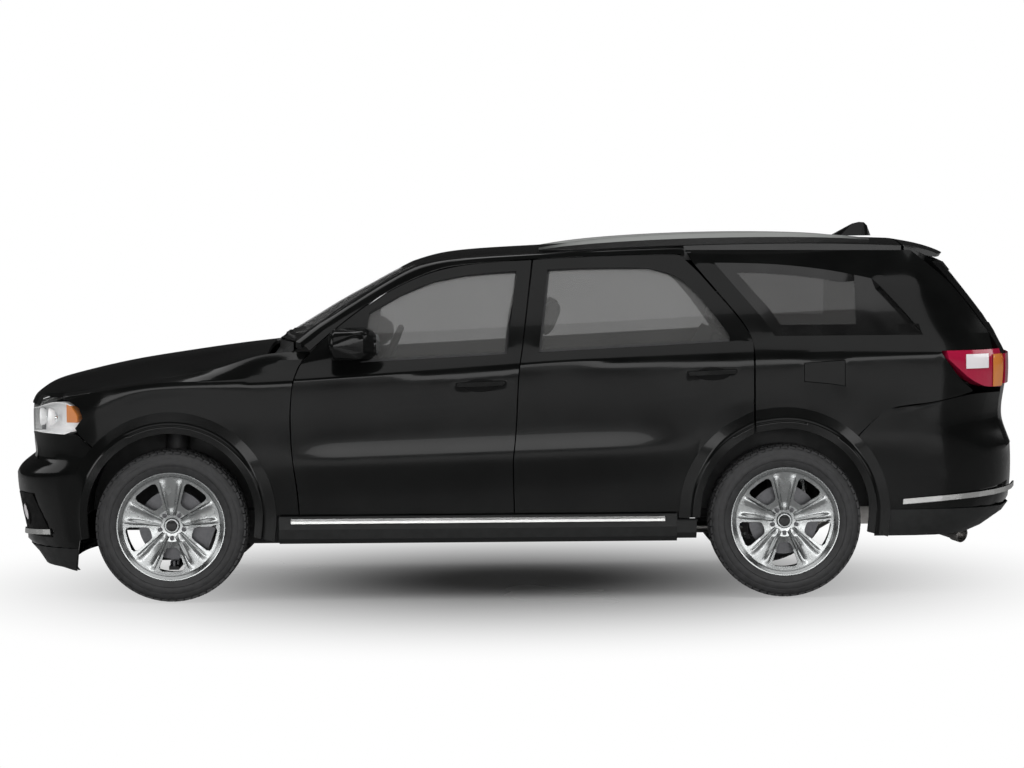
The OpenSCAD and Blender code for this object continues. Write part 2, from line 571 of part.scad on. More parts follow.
module grille() {
    n = 10;
    rows = [for (k = [0:10]) mix(700 + seat_gap, 962, k / 10)];
    span = 560;
    point = function(i, z, d) nose_point(nose_angle_at(span * (1 - 2 * i / n), z), z, d);
    low = [for (k = [0:6]) mix(285 + seat_gap, 530 - seat_gap, k / 6)];
    side = 0.46 * nose_angle(bumper_end(430), 430) - 0.6;
    inset = function(i, z, d) nose_point(mix(side, -side, i / n), z, d);
    color("silver") shell([for (i = [0:n]) [for (z = low) inset(i, z, 24)]],
        [for (i = [0:n]) [for (z = low) inset(i, z, 40)]],
        function(i, j) j % 2 == 0 || j == 5 || i == 0 || i == n - 1);
    color("silver") shell([for (i = [0:n]) [for (z = rows) point(i, z, 14)]],
        [for (i = [0:n]) [for (z = rows) point(i, z, 44)]],
        function(i, j) j % 2 == 0 || j == 9 || i == 0 || i == n - 1);
}
function lamp_rows(k) = [mix(842, 836, k) + 70 * pow(clamp((k - 0.8) / 0.2, 0, 1), 2),
    mix(954, 990, clamp(k * 2.2 - 0.2, 0, 1)) - 62 * pow(clamp((k - 0.8) / 0.2, 0, 1), 2)];
module headlamp_shape() {
    n = 9;
    m = 4;
    point = function(i, j, d) let (k = i / n, zz = lamp_rows(k), z = mix(zz[0], zz[1], j / m),
        a = mix(nose_angle_at(582, z), nose_angle(front_axle - 461, z), k)) nose_point(-a, z, d);
    color("white") shell([for (i = [0:n]) [for (j = [0:m]) point(i, j, 1)]],
        [for (i = [0:n]) [for (j = [0:m]) point(i, j, 62)]]);
}
module headlamps() {
    both_sides() headlamp_shape();
}
REAR_ROWS = [300, 335, 386, 450, 560, 660, 726, 786, 846, 929];
function rear_end(z) = rear_axle + (z > 726 ? lookup(z, [[726, 300], [846, 404], [929, 498], [946, 560]])
    : arch_reach(max(z, 400))) + 4;
REAR_SPREAD = [1, 0.9, 0.8, 0.7, 0.6, 0.5, 0.33, 0.16, 0, -0.16, -0.33, -0.5, -0.6, -0.7, -0.8, -0.9, -1];
function rear_angle(k, z, x) =
    let (e = abs(k), g = tail_angle_at(gate_half + shut_gap, z))
    -sign(k) * (e > 0.5 ? mix(g, tail_angle(x, z), 2 * e - 1) : g * 2 * e);
function rear_column(k, d) =
    let (c = d > 0 && abs(k) > 0.5 ? 0.99 : 1, a = rear_angle(k, 944, rear_end(944)) * c,
        top = quarter_bottom(tail_point(a, 960, 0)[0]) - 6)
    concat([for (z = REAR_ROWS) tail_point(rear_angle(k, z, rear_end(z)) * c, z, d)],
        [tail_point(a, top, d)]);
module rear_bumper() {
    color("dimgray") shell([for (k = REAR_SPREAD) rear_column(k, 0)],
        [for (k = REAR_SPREAD) rear_column(k, panel_thickness)], function(i, j) !(i >= 5 && i < 11
            && j >= 6));
}
gate_half = rail_half + 17;
module tail_lamp_shape() {
    n = 7;
    m = 4;
    point = function(i, j, d) let (k = i / n, x0 = rear_axle + 810,
        xs = mix(x0, tail_tip - 160, k), low = lamp_low(min(xs, rear_axle + 1060)) + 14, z = mix(low,
            1216, j / m),
        a = mix(tail_angle(x0, 1200), tail_angle_at(gate_half + shut_gap, z), k)) tail_point(-a, z, d);
    color("crimson") shell([for (i = [0:n]) [for (j = [0:m]) point(i, j, 0)]],
        [for (i = [0:n]) [for (j = [0:m]) point(i, j, 56)]]);
}
module tail_lamps() {
    both_sides() tail_lamp_shape();
}

// Tailgate with its window, lamp and spoiler
GATE_GLASS_ROWS = [for (z = [1290, 1380, 1480, 1580, 1650]) lifted(z, tail_tip)];
GATE_ROWS = concat([734, 790, 862, 940, 1040, 1115, 1190, 1240], GATE_GLASS_ROWS);
spoiler_front = roof_rear + shut_gap + 4;
spoiler_half = rail_half - 15;
function spoiler_tip(f) = tail_tip - 345 - 70 * pow(abs(f), 3);
spoiler_scale = (roof_height - belt_z(tail_tip)) / (roof_drawn - belt_z(tail_tip));
function spoiler_share(f) = spoiler_scale * (1 - 0.34 * pow(abs(f), 2.4));
function spoiler_low(f, k) =
    let (y = f * spoiler_half, z = roof_at(roof_rear, y), drop = lookup(k, [[0, 5.4], [0.3, 34],
        [0.7, 78], [1, 92]]) * spoiler_share(f))
    [mix(spoiler_front + 6, spoiler_tip(f) - 14, k), y, z - drop];
GATE_SPREAD = [-1, -0.86, -0.6, -0.3, 0, 0.3, 0.6, 0.86, 1];
function gate_point(f, z, d) =
    tail_point(tail_angle_at(f * gate_half * (z > 1300 ? mix(1, 0.985, (z - 1300) / 400) : 1), z), z, d);
function gate_column(f, d) =
    concat([for (z = GATE_ROWS) gate_point(f, z, z < GATE_GLASS_ROWS[0] ? d : min(d, frame_thickness))],
        [for (k = [0.7, 0.3, 0]) spoiler_low(f, k) - [d > 0 && k > 0.5 ? 34 : 0, 0, 1.2 + (d > 0
            ? 30 : 0)]]);
module tailgate() {
    color("dimgray") shell([for (f = GATE_SPREAD) gate_column(f, 0)], [for (f = GATE_SPREAD)
        gate_column(f, 80)],
        function(i, j) !(i >= 1 && i < 7 && j >= 8 && j < 12));
}
module tailgate_window() {
    e = seat_gap / gate_half;
    spread = [-0.86 + e, -0.6, -0.3, 0, 0.3, 0.6, 0.86 - e];
    last = len(GATE_GLASS_ROWS) - 1;
    rows = [for (k = [0:last]) GATE_GLASS_ROWS[k] + (k == 0 ? seat_gap : k == last ? -seat_gap : 0)];
    color("slategray") shell([for (f = spread) [for (z = rows) gate_point(f, z, 4)]],
        [for (f = spread) [for (z = rows) gate_point(f, z, 4 + glass_thickness)]]);
}
module tailgate_lamp() {
    zs = [1040, 1115, 1190];
    point = function(f, z, d) gate_point(clamp(f, -0.985, 0.985), z, d);
    color("crimson") shell([for (f = GATE_SPREAD) [for (z = zs) point(f, z, -12)]],
        [for (f = GATE_SPREAD) [for (z = zs) point(f, z, -seat_gap - 0.4)]]);
}
module spoiler() {
    ring = function(f) let (y = f * spoiler_half, z = roof_at(roof_rear, y), x0 = spoiler_front,
        x1 = spoiler_tip(f), q = spoiler_share(f))
        [spoiler_low(f, 0), spoiler_low(f, 0.3), spoiler_low(f, 0.7), spoiler_low(f, 1), [x1, y,
            z - 70 * q],
        [mix(x0, x1, 0.86), y, z - 52 * q], [mix(x0, x1, 0.5), y, z - 22 * q], [x0, y, z - 1]];
    color("dimgray") loft([for (f = GATE_SPREAD) ring(f)]);
}

// Wheels
module tyre() {
    r = tyre_radius;
    h = tyre_width / 2;
    b = rim_radius - 14;
    color("black") turned_to_axle() rotate_extrude($fn = 96) polygon([[b, -h + 26], [b + 18, -h + 14],
        [b + 34, -h + 5],
        [(b + r) / 2, -h], [r - 34, -h + 6], [r - 12, -h + 20], [r - 2, -h + 42], [r, -h + 62],
        [r, -50], [r - 8, -49], [r - 8, -39], [r, -38], [r, -6], [r - 8, -5], [r - 8, 5], [r, 6],
            [r, 38], [r - 8, 39], [r - 8, 49], [r, 50],
        [r, h - 62], [r - 2, h - 42], [r - 12, h - 20], [r - 34, h - 6], [(b + r) / 2, h],
        [b + 34, h - 5], [b + 18, h - 14], [b, h - 26]]);
}
module wheel() {
    b = rim_radius - 14 - seat_gap;
    h = tyre_width / 2;
    spokes = 5;
    color("silver") turned_to_axle() difference() {
        union() {
            rotate_extrude($fn = 96) polygon([[b, -h + 26], [b, h - 26], [rim_radius - 4, h - 18],
                [rim_radius - 10, h - 12],
                [b - 8, h - 22], [b - 16, h - 60], [b - 24, 0], [b - 14, -h + 30]]);
            rotate_extrude($fn = 96) polygon([[0, h - 62], [34, h - 62], [40, h - 74], [80, h - 70],
                [150, h - 52], [b - 12, h - 34],
                [b - 14, h - 62], [150, h - 84], [90, h - 100], [0, h - 100]]);
        }
        for (k = [0:spokes - 1]) rotate([0, 0, 90 + (k + 0.5) * 360 / spokes]) translate([0, 0, h - 120])
            linear_extrude(height = 130) polygon([[112, -26], [124, -34], [200, -62], [216, -60],
                [224, -48], [227, 0],
                [224, 48], [216, 60], [200, 62], [124, 34], [112, 26], [108, 12], [108, -12]]);
        for (k = [0:spokes - 1]) rotate([0, 0, 90 + k * 360 / spokes]) translate([nut_circle_radius, 0,
            h - 92])
            cylinder(h = 60, r = nut_radius + 4, $fn = 24);
    }
    color("silver") turned_to_axle() for (k = [0:spokes - 1]) rotate([0, 0, 90 + k * 360 / spokes])
        translate([nut_circle_radius, 0, h - 92]) cylinder(h = 24, r = nut_radius, $fn = 6);
}
module brake_disc() {
    h = tyre_width / 2;
    color("gray") turned_to_axle() rotate_extrude($fn = 72) polygon([[0, h - 100 - seat_gap],
        [78, h - 100 - seat_gap],
        [78, h - 142], [disc_radius, h - 142], [disc_radius, h - 168], [66, h - 168], [66, h - 150],
            [0, h - 150]]);
}
module at_front_left() {
    translate([front_axle, -half_track, hub_z]) children();
}
module at_front_right() {
    right_side() at_front_left() children();
}
module at_rear_left() {
    translate([rear_axle, -half_track, hub_z]) children();
}
module at_rear_right() {
    right_side() at_rear_left() children();
}
module tyre_front_left() {
    at_front_left() tyre();
}
module tyre_front_right() {
    at_front_right() tyre();
}
module tyre_rear_left() {
    at_rear_left() tyre();
}
module tyre_rear_right() {
    at_rear_right() tyre();
}
module wheel_front_left() {
    at_front_left() wheel();
}
module wheel_front_right() {
    at_front_right() wheel();
}
module wheel_rear_left() {
    at_rear_left() wheel();
}
module wheel_rear_right() {
    at_rear_right() wheel();
}
module disc_front_left() {
    at_front_left() brake_disc();
}
module disc_front_right() {
    at_front_right() brake_disc();
}
module disc_rear_left() {
    at_rear_left() brake_disc();
}
module disc_rear_right() {
    at_rear_right() brake_disc();
}

// Flares round the wheel arches, in a section that hooks into the opening
function flare_spot(x, r, a, out) =
    let (px = x + r * cos(a), pz = arch_height + r * sin(a))
    [px, -side_half(px, max(pz, door_bottom)) - out, pz];
function flare_ring(x, spin) =
    let (r = arch_radius, p = function(r, out) flare_spot(x, r, spin(r), out), low = 2.4)
    [p(r - 0.4, -22), p(r - 5, -22), p(r - 5, flare_depth), p(r + lip_width, flare_depth),
        p(r + lip_width + 6, flare_depth - 7), p(flare_radius, low + 2), p(flare_radius, low), p(r - 0.4,
            low)];
module flare(x, turns) {
    loft([for (t = turns) flare_ring(x, t)]);
}
function spins(a0, a1, n) = [for (i = [0:n]) let (a = mix(a0, a1, i / n)) function(r) a];
function cut_spin(dx) = function(r) acos(dx / r);
door_cut = -146;
module arch_flares() {
    color("dimgray") both_sides() {
        flare(front_axle, spins(194, -14, 16));
        flare(rear_axle, concat([cut_spin(door_cut + 4)], spins(92, -14, 8)));
    }
}
module rear_door_flare() {
    flare(rear_axle, concat(spins(183, 122, 5), [cut_spin(door_cut - shut_gap - 2)]));
}

// Sills with their bright strips
sill_front = front_axle + flare_radius + 10;
sill_back = rear_axle - flare_radius - 10;
sill_top = door_bottom - shut_gap;
sill_out = body_half_width + 6;
module along_x(x0, x1) {
    translate([x0, 0, 0]) rotate([90, 0, 90]) linear_extrude(height = x1 - x0) children();
}
module sill_shape() {
    along_x(sill_front, sill_back) polygon([[-sill_out + 92, 290], [-sill_out + 40, 286],
        [-sill_out + 8, 312],
        [-sill_out, 360], [-sill_out + 3, sill_top - 8], [-sill_out + 10, sill_top],
            [-sill_out + 92, sill_top]]);
}
module sill_end() {
    low = 300;
    top = 392;
    along_x(sill_back - 1, rear_axle - arch_radius - 14) polygon([[-sill_out + 92, low],
        [-sill_out + 30, low], [-sill_out, low + 30],
        [-sill_out - 4, top - 6], [-sill_out + 4, top], [-sill_out + 92, top]]);
}
module sill_cladding() {
    color("gray") both_sides() {
        sill_shape();
        sill_end();
    }
}
module bright_strips() {
    h = 24;
    z = sill_top - 10;
    b = 5;
    color("silver") both_sides() {
        along_x(sill_front + 60, sill_back - 60) polygon([[-sill_out - b, z - h / 2],
            [-sill_out - b + 2, z], [-sill_out + 2.7, z],
            [-sill_out - seat_gap, z - h], [-sill_out - b, z - h]]);
        bumper_strip();
    }
}
module bumper_strip() {
    n = 8;
    loft([for (i = [0:n]) let (a = mix(18, 50, i / n), z = mix(300, 330, i / n))
        [nose_point(-a, z, -2), nose_point(-a, z, -10), nose_point(-a, z + 26, -10), nose_point(-a, z
            + 26, -2)]]);
    loft([for (i = [0:n]) let (a = mix(72, 30, i / n), z = mix(457, 512, i / n))
        [tail_point(-a, z, -2), tail_point(-a, z, -10), tail_point(-a, z + 26, -10), tail_point(-a, z
            + 26, -2)]]);
}

// Wheel housings, floor and pillars
liner_radius = arch_radius + 12;
module liner(x, inner, out) {
    wall = 8;
    translate([x, -inner, arch_height]) rotate([90, 0, 0]) rotate_extrude(angle = 180, $fn = 64)
        polygon([[liner_radius - 130, 0], [liner_radius + wall, 0], [liner_radius + wall, out - inner],
            [liner_radius, out - inner], [liner_radius, wall], [liner_radius - 130, wall]]);
}
front_liner_inner = half_track - tyre_width / 2 - 239.5;
rear_liner_inner = half_track - tyre_width / 2 - 39.5;
module wheel_housings() {
    color("gray") both_sides() {
        liner(front_axle, front_liner_inner, body_half_width - 104);
        liner(rear_axle, rear_liner_inner, body_half_width - door_thickness - 54);
    }
}
floor_front = front_axle + 545;
floor_step = rear_axle - 470;
floor_back = tail_tip - 130;
load_floor = 700;
floor_half = body_half_width - 245;
module floor_pan() {
    low = floor_top - floor_thickness;
    side = rear_liner_inner - 2;
    wall = 1196.2;
    t = 40;
    color("gray") {
        translate([0, side, 0]) rotate([90, 0, 0]) linear_extrude(height = 2 * side)
            polygon([[floor_front, low], [floor_step + t, low], [floor_step + t, load_floor - t],
                [floor_back, load_floor - t],
                [floor_back, load_floor], [floor_step, load_floor], [floor_step, floor_top],
                    [floor_front + t, floor_top],
                [floor_front + t, wall], [floor_front, wall]]);
        both_sides() translate([floor_front, -floor_half, low]) cube([floor_step - floor_front - 20,
            floor_half - side + 1, floor_thickness]);
        both_sides() translate([floor_front, -floor_half, low]) cube([t, floor_half - side + 1,
            wall - low]);
    }
}
pillar_depth = 60;
module pillar_side() {
    beam = [-sill_out + 92 + seat_gap, -floor_half - seat_gap];
    along_x(floor_front, floor_step) polygon([[beam[0], 300], [beam[0], sill_top], [beam[0] + 68, sill_top],
        [beam[1], floor_top], [beam[1], 300]]);
    post = [for (k = [0:6]) let (z = mix(sill_top - 6, lifted(1662, split_x), k / 6), x = split_x
        + curve(DOOR_SPLIT, drawn(z, split_x)), y = side_half(x, max(z, 500)),
        d = z < belt_z(0) - 20 ? door_thickness : frame_thickness)
        [[x - 74, -y + d + pillar_depth + 30, z], [x + 30, -y + d + pillar_depth + 30, z],
            [x + 30, -y + d + 40, z],
            [x - 10, -y + d + 20, z], [x - 74, -y + d + 20, z]]];
    loft(post);
    translate([floor_front, -floor_half - 60, 310]) cube([50, 60 - seat_gap, 880]);
}
module pillars() {
    color("gray") both_sides() pillar_side();
}

// Mirrors on the front doors
module mirror_shape() {
    x = front_axle + 881;
    y = body_half_width + 64;
    z = 1274;
    foot = side_half(x + 60, z - 74) + 3;
    hull() {
        translate([x - 56, -y + 50, z]) scale([0.5, 1, 1]) sphere(r = 80, $fn = 20);
        translate([x - 50, -y - 30, z - 4]) scale([0.5, 1, 1]) sphere(r = 72, $fn = 20);
        translate([x + 78, -y + 52, z]) rotate([90, 0, 0]) cylinder(h = 2, r = 86, $fn = 20);
        translate([x + 84, -y + 52, z - 78]) cube([4, 50, 152]);
        translate([x + 84, -y - 82, z - 70]) cube([4, 120, 136]);
    }
    hull() {
        translate([x - 20, -y + 70, z - 70]) cube([60, 20, 40]);
        translate([x - 30, -foot - seat_gap - 6.5, z - 60]) cube([90, 3, 34]);
    }
}
module mirror_left() {
    color("dimgray") mirror_shape();
}
module mirror_right() {
    right_side() mirror_left();
}

// Flap over the filler in the left quarter panel
module fuel_flap() {
    g = 3;
    grid = [for (i = [2:4]) [for (j = [2:3]) quarter_column(QUARTER_SHARES[i])[j]
        + [i == 2 ? g : i == 4 ? -g : 0, 0, j == 2 ? g : -g]]];
    at = quarter_column(QUARTER_SHARES[2])[2];
    color("dimgray") shell(grid, moved(grid, [0, 12, 0]));
    color("dimgray") translate(at + [8, 11, 8]) cube([16, panel_thickness, 24]);
    color("dimgray") translate(at + [-24, panel_thickness + 0.6, 8]) cube([48, 10.4, 24]);
}

// Suspension, brakes and drive
hub_face = 150 - tyre_width / 2 + seat_gap;
module knuckle_shape() {
    reach = disc_radius + 14;
    translate([front_axle, -half_track + hub_face, hub_z]) rotate([-90, 0, 0]) cylinder(h = 90, r = 56,
        $fn = 48);
    translate([front_axle - 45, -half_track + 62, hub_z - 120]) cube([90, 36, 240]);
    for (s = [-1, 1]) translate([front_axle, -kingpin_half, hub_z + s * 196]) cylinder(h = 26, r = 16,
        center = true, $fn = 32);
    for (s = [-1, 1]) translate([front_axle - 20, -kingpin_half, hub_z + s * 196 - 8])
        cube([40, kingpin_half - half_track + 98, 16]);
    for (s = [-1, 1]) translate([front_axle - 20, -half_track + 70, hub_z + s * 160 - 45]) cube([40, 28,
        90]);
    translate([front_axle, -half_track + 46, hub_z]) rotate([0, 20, 0]) translate([0, 0, -30])
        cube([reach, 24, 60]);
    translate([front_axle, -half_track, hub_z]) rotate([0, 20, 0]) difference() {
        translate([100, -12, -55]) cube([reach - 100 + 20, 62, 110]);
        translate([60, 3, -80]) cube([reach - 60, 39, 160]);
        translate([60, 3, -80]) cube([44, 60, 160]);
    }
}
module knuckle_left() {
    color("gray") knuckle_shape();
}
module knuckle_right() {
    right_side() knuckle_left();
}
module bar(p, q, r) {
    d = q - p;
    l = norm(d);
    translate(p) rotate([0, acos(d[2] / l), atan2(d[1], d[0])]) cylinder(h = l, r = r, $fn = 24);
}
module front_suspension() {
    arm_z = hub_z - 196;
    strut_half = half_track - 252;
    color("gray") {
        translate([front_axle - 130, -420, arm_z - 22]) cube([260, 840, 70]);
        both_sides() {
            translate([front_axle - 24, -kingpin_half - 20, arm_z - 31.3]) cube([48, kingpin_half - 380,
                18]);
            bar([front_axle, -strut_half, arm_z - 20], [front_axle, -strut_half + 26, arch_height
                + liner_radius - 1.5], 26);
            bar([front_axle, -strut_half + 10, 560], [front_axle, -strut_half + 25, arch_height
                + liner_radius - 14], 58);
        }
    }
}
module rear_suspension() {
    color("gray") {
        translate([rear_axle - 60, 0, hub_z]) sphere(r = 130, $fn = 32);
        bar([rear_axle, -half_track + 40, hub_z], [rear_axle, half_track - 40, hub_z], 30);
        translate([rear_axle - 150, -430, hub_z - 110]) cube([300, 860, 60]);
        both_sides() {
            translate([rear_axle, -half_track + hub_face, hub_z]) rotate([-90, 0, 0]) cylinder(h = 90,
                r = 56, $fn = 48);
            translate([rear_axle - 30, -half_track + 60, hub_z - 120]) cube([60, 40, 240]);
            bar([rear_axle, -half_track + 80, hub_z - 100], [rear_axle, -half_track + 412, hub_z - 80], 24);
            bar([rear_axle, -half_track + 272, hub_z - 100], [rear_axle, -half_track + 292,
                load_floor - 47], 56);
        }
    }
}
module powertrain() {
    top = 985;
    color("gray") {
        translate([front_axle - 330, -260, 300]) cube([640, 520, top - 300]);
        translate([front_axle + 300, -150, 215]) cube([720, 300, 175]);
        bar([front_axle + 1000, 0, 330], [rear_axle - 193, 0, hub_z - 20], 38);
    }
}
module exhaust() {
    y = 360;
    z = 232;
    box_z = 300;
    color("gray") {
        bar([front_axle + 700, y, z], [rear_axle + 250, y, z], 30);
        bar([rear_axle + 245, y, z - 4], [rear_axle + 480, y, box_z + 60], 30);
        translate([rear_axle + 440, -260, box_z]) cube([330, 700, 120]);
        both_sides() bar([rear_axle + 700, 250, box_z + 30], [tail_tip - 290, 500, 268], 36);
    }
}

// Seats and controls
module seat_shape(x, y, w, z, room) {
    r = 45;
    lean = 24;
    back = roof_height - z - room;
    translate([x, y, z]) {
        hull() for (p = [[-250, -75], [210, -110]]) for (s = [-1, 1]) translate([p[0],
            s * (w / 2 - r), p[1]]) sphere(r = r, $fn = 8);
        hull() for (s = [-1, 1]) {
            translate([205, s * (w / 2 - r), -60]) sphere(r = r, $fn = 8);
            translate([205 + back * sin(lean), s * (w / 2 - r - 40), -60 + back * cos(lean)])
                sphere(r = r, $fn = 8);
        }
        hull() for (s = [-1, 1]) {
            translate([205 + (back + 60) * sin(lean), s * 80, -60 + (back + 50) * cos(lean)])
                sphere(r = 42, $fn = 8);
            translate([205 + (back + 130) * sin(lean), s * 70, -60 + (back + 160) * cos(lean)])
                sphere(r = 40, $fn = 8);
        }
    }
}
seat_x = split_x - 330;
seat_y = floor_half - 315;
second_row_width = 2 * floor_half - 160;
third_row_width = 2 * rear_liner_inner - 280;
module seat_base(x, y, w, z, floor) {
    translate([x - 220, y - w / 2 + 60, floor + seat_gap]) cube([420, w - 120, z - 110 - floor]);
}
module front_seats() {
    color("darkslategray") both_sides() {
        seat_shape(seat_x, -seat_y, seat_width, seat_height, 424);
        seat_base(seat_x, -seat_y, seat_width, seat_height, floor_top);
    }
}
module rear_seats() {
    color("darkslategray") {
        seat_shape(floor_step - 280, 0, second_row_width, seat_height + 30, 394);
        seat_base(floor_step - 280, 0, second_row_width, seat_height + 30, floor_top);
        seat_shape(rear_axle + 290, 0, third_row_width, load_floor + 210, 314);
        seat_base(rear_axle + 290, 0, third_row_width, load_floor + 210, load_floor);
    }
}
module dashboard() {
    x = floor_front + 40 + seat_gap;
    w = floor_half - 10;
    color("gray") {
        translate([0, w, 0]) rotate([90, 0, 0]) linear_extrude(height = 2 * w)
            polygon([[x, 880], [x + 250, 850], [x + 400, 930], [x + 420, 1080], [x + 330, 1180],
                [x, 1210]]);
        translate([x + 120, -110, floor_top + seat_gap]) cube([1000, 220, 300]);
        translate([x + 120, -110, floor_top + seat_gap]) cube([280, 220, 500]);
    }
}
module steering_wheel() {
    r = 17;
    c = [front_axle + 1062, -seat_y, 1180];
    tilt = 66;
    color("gray") {
        translate(c) rotate([0, -tilt, 0]) {
            rotate_extrude($fn = 48) translate([steering_wheel_radius - r, 0]) circle(r = r, $fn = 24);
            cylinder(h = 50, r = 70, center = true, $fn = 32);
            for (a = [0, 120, 240]) rotate([0, 0, a + 90]) translate([0, -18, -8])
                cube([steering_wheel_radius - r, 36, 16]);
        }
        bar(c, [floor_front + 440, -seat_y, 1075], 32);
    }
}

front_door_left();
front_door_right();
rear_door_left();
rear_door_right();
front_window_left();
front_window_right();
rear_window_left();
rear_window_right();
front_fenders();
quarter_panels();
quarter_windows();
windscreen();
roof_strips();
roof_panel();
roof_rails();
roof_fin();
hood();
cowl_panel();
front_bumper();
grille();
headlamps();
rear_bumper();
tail_lamps();
tailgate();
tailgate_window();
tailgate_lamp();
spoiler();
tyre_front_left();
tyre_front_right();
tyre_rear_left();
tyre_rear_right();
wheel_front_left();
wheel_front_right();
wheel_rear_left();
wheel_rear_right();
disc_front_left();
disc_front_right();
disc_rear_left();
disc_rear_right();
arch_flares();
sill_cladding();
bright_strips();
wheel_housings();
floor_pan();
pillars();
mirror_left();
mirror_right();
fuel_flap();
knuckle_left();
knuckle_right();
front_suspension();
rear_suspension();
powertrain();
exhaust();
front_seats();
rear_seats();
dashboard();
steering_wheel();
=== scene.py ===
"""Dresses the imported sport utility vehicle: smooth paint, glass, wheels, lamps, seats and a studio."""

import json
import math

import bmesh
import bpy
from mathutils import Matrix, Vector
from mathutils.bvhtree import BVHTree


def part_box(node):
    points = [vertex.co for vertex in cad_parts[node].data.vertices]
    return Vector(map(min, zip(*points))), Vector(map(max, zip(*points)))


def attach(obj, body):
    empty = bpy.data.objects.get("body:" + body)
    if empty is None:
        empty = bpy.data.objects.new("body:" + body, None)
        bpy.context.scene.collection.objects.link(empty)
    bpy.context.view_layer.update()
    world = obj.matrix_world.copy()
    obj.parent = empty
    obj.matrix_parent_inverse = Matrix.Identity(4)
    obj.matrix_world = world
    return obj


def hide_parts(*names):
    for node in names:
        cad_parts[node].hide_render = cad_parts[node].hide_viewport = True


bl_info = {
    "name": "Sport Utility Vehicle Dressing",
    "version": (1, 0, 0),
    "blender": (4, 5, 0),
    "location": "3D View > Sidebar > Vehicle",
    "description": "Builds the looks of a sport utility vehicle around its packed solids",
    "category": "Object",
}

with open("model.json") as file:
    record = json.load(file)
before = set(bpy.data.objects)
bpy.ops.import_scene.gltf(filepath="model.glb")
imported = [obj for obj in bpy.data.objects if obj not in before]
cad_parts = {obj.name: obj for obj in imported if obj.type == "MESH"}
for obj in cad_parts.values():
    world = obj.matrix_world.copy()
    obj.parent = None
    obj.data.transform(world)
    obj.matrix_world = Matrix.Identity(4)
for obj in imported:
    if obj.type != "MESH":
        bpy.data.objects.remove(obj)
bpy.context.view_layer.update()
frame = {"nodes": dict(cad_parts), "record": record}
NODES = frame["nodes"]
BODY_OF = {n: b for b, group in frame["record"]["behaviour"]["bodies"].items() for n in group}
CORNERS = ("front_left", "front_right", "rear_left", "rear_right")
SIDES = {"left": -1, "right": 1}

# Lines are cast onto the vehicle from places ahead of it, behind it and beside it
AHEAD, BEHIND, BESIDE = -3.0, 3.5, 1.5
REARWARDS, FORWARDS = (1, 0, 0), (-1, 0, 0)

# Points this close are merged, and cuts and slivers go by the finer distance
MERGE, FINE = 0.00002, 0.00001
SMOOTH_UNDER, CREASE_OVER = math.radians(35), math.radians(32)
QUAD_FLAT, QUAD_SQUARE = math.radians(25), math.radians(70)

# How far a face's normal leans where the face counts as upright, endward or sideward
UPRIGHT, ENDWARD, SIDEWARD = 0.75, 0.25, 0.3
ANYWHERE = (None, None, None)


# Sizes and colours that a user would change

class VehicleSizes(bpy.types.PropertyGroup):
    """Sizes of the pieces that dress the vehicle"""

    tread_depth: bpy.props.FloatProperty(
        name="Tread depth", description="Height of the tread blocks", default=0.008, unit="LENGTH")
    tread_pitches: bpy.props.IntProperty(
        name="Tread pitches", description="Blocks round each tread row", default=60)
    ridge_height: bpy.props.FloatProperty(
        name="Ridge height", description="How far a spoke's ridges stand up", default=0.011, unit="LENGTH")
    seal_width: bpy.props.FloatProperty(
        name="Seal width", description="Width of the rubber round a window", default=0.012, unit="LENGTH")
    frit_width: bpy.props.FloatProperty(
        name="Frit width", description="Width of the dark band round a pane", default=0.055, unit="LENGTH")
    camera_distance: bpy.props.FloatProperty(
        name="Camera distance", description="Middle plane to camera", default=17.43, unit="LENGTH")
    camera_height: bpy.props.FloatProperty(
        name="Camera height", description="Height of the camera", default=1.93, unit="LENGTH")
    camera_lens: bpy.props.FloatProperty(
        name="Focal length", description="Focal length of the camera in millimetres", default=117.6)


class VehicleColours(bpy.types.PropertyGroup):
    """Colours of the vehicle's finishes"""

    paint: bpy.props.FloatVectorProperty(
        name="Paint", description="Body colour", subtype="COLOR", size=3, default=(0.004, 0.0042, 0.0041))
    glass: bpy.props.FloatVectorProperty(
        name="Glass", description="Tint of the windows", subtype="COLOR", size=3, default=(0.1, 0.1, 0.098))
    alloy: bpy.props.FloatVectorProperty(
        name="Alloy", description="Polished wheels", subtype="COLOR", size=3, default=(0.36, 0.37, 0.37))
    rubber: bpy.props.FloatVectorProperty(
        name="Rubber", description="Tyres, seals", subtype="COLOR", size=3, default=(0.026, 0.026, 0.027))
    cladding: bpy.props.FloatVectorProperty(
        name="Cladding", description="Grained lower plastic", subtype="COLOR", size=3,
        default=(0.014, 0.0145, 0.0145))
    red_lens: bpy.props.FloatVectorProperty(
        name="Red lens", description="Tail lamp lens", subtype="COLOR", size=3, default=(0.34, 0.008, 0.04))
    seat: bpy.props.FloatVectorProperty(
        name="Seats", description="Seat leather", subtype="COLOR", size=3, default=(0.03, 0.03, 0.031))


# Materials

MATS = {}
# Where noise turns from its low tone to its high one, the part of it that moves the gloss, and how far
TONE_LOW, TONE_HIGH = 0.35, 0.65
GLOSS_FROM, GLOSS_TO = 0.3, 0.7
UNEVEN_GLOSS = 0.15
SLOW_DETAIL, FAST_DETAIL = 3.0, 2.0
GLASS_ROUGHNESS, GLASS_IOR = 0.03, 1.5
LENS_COAT, FLUTES, FLUTE_WAVER = 0.4, 40.0, 0.2
FLUTE_SHINE, FLUTE_MATT, FLUTE_STRENGTH, FLUTE_DEPTH = 0.04, 0.12, 0.08, 0.001
BRUSHED = (0.1, 1, 1)


def new_material(name):
    mat = bpy.data.materials.new(name)
    mat.use_nodes = True
    return mat, mat.node_tree.nodes["Principled BSDF"]


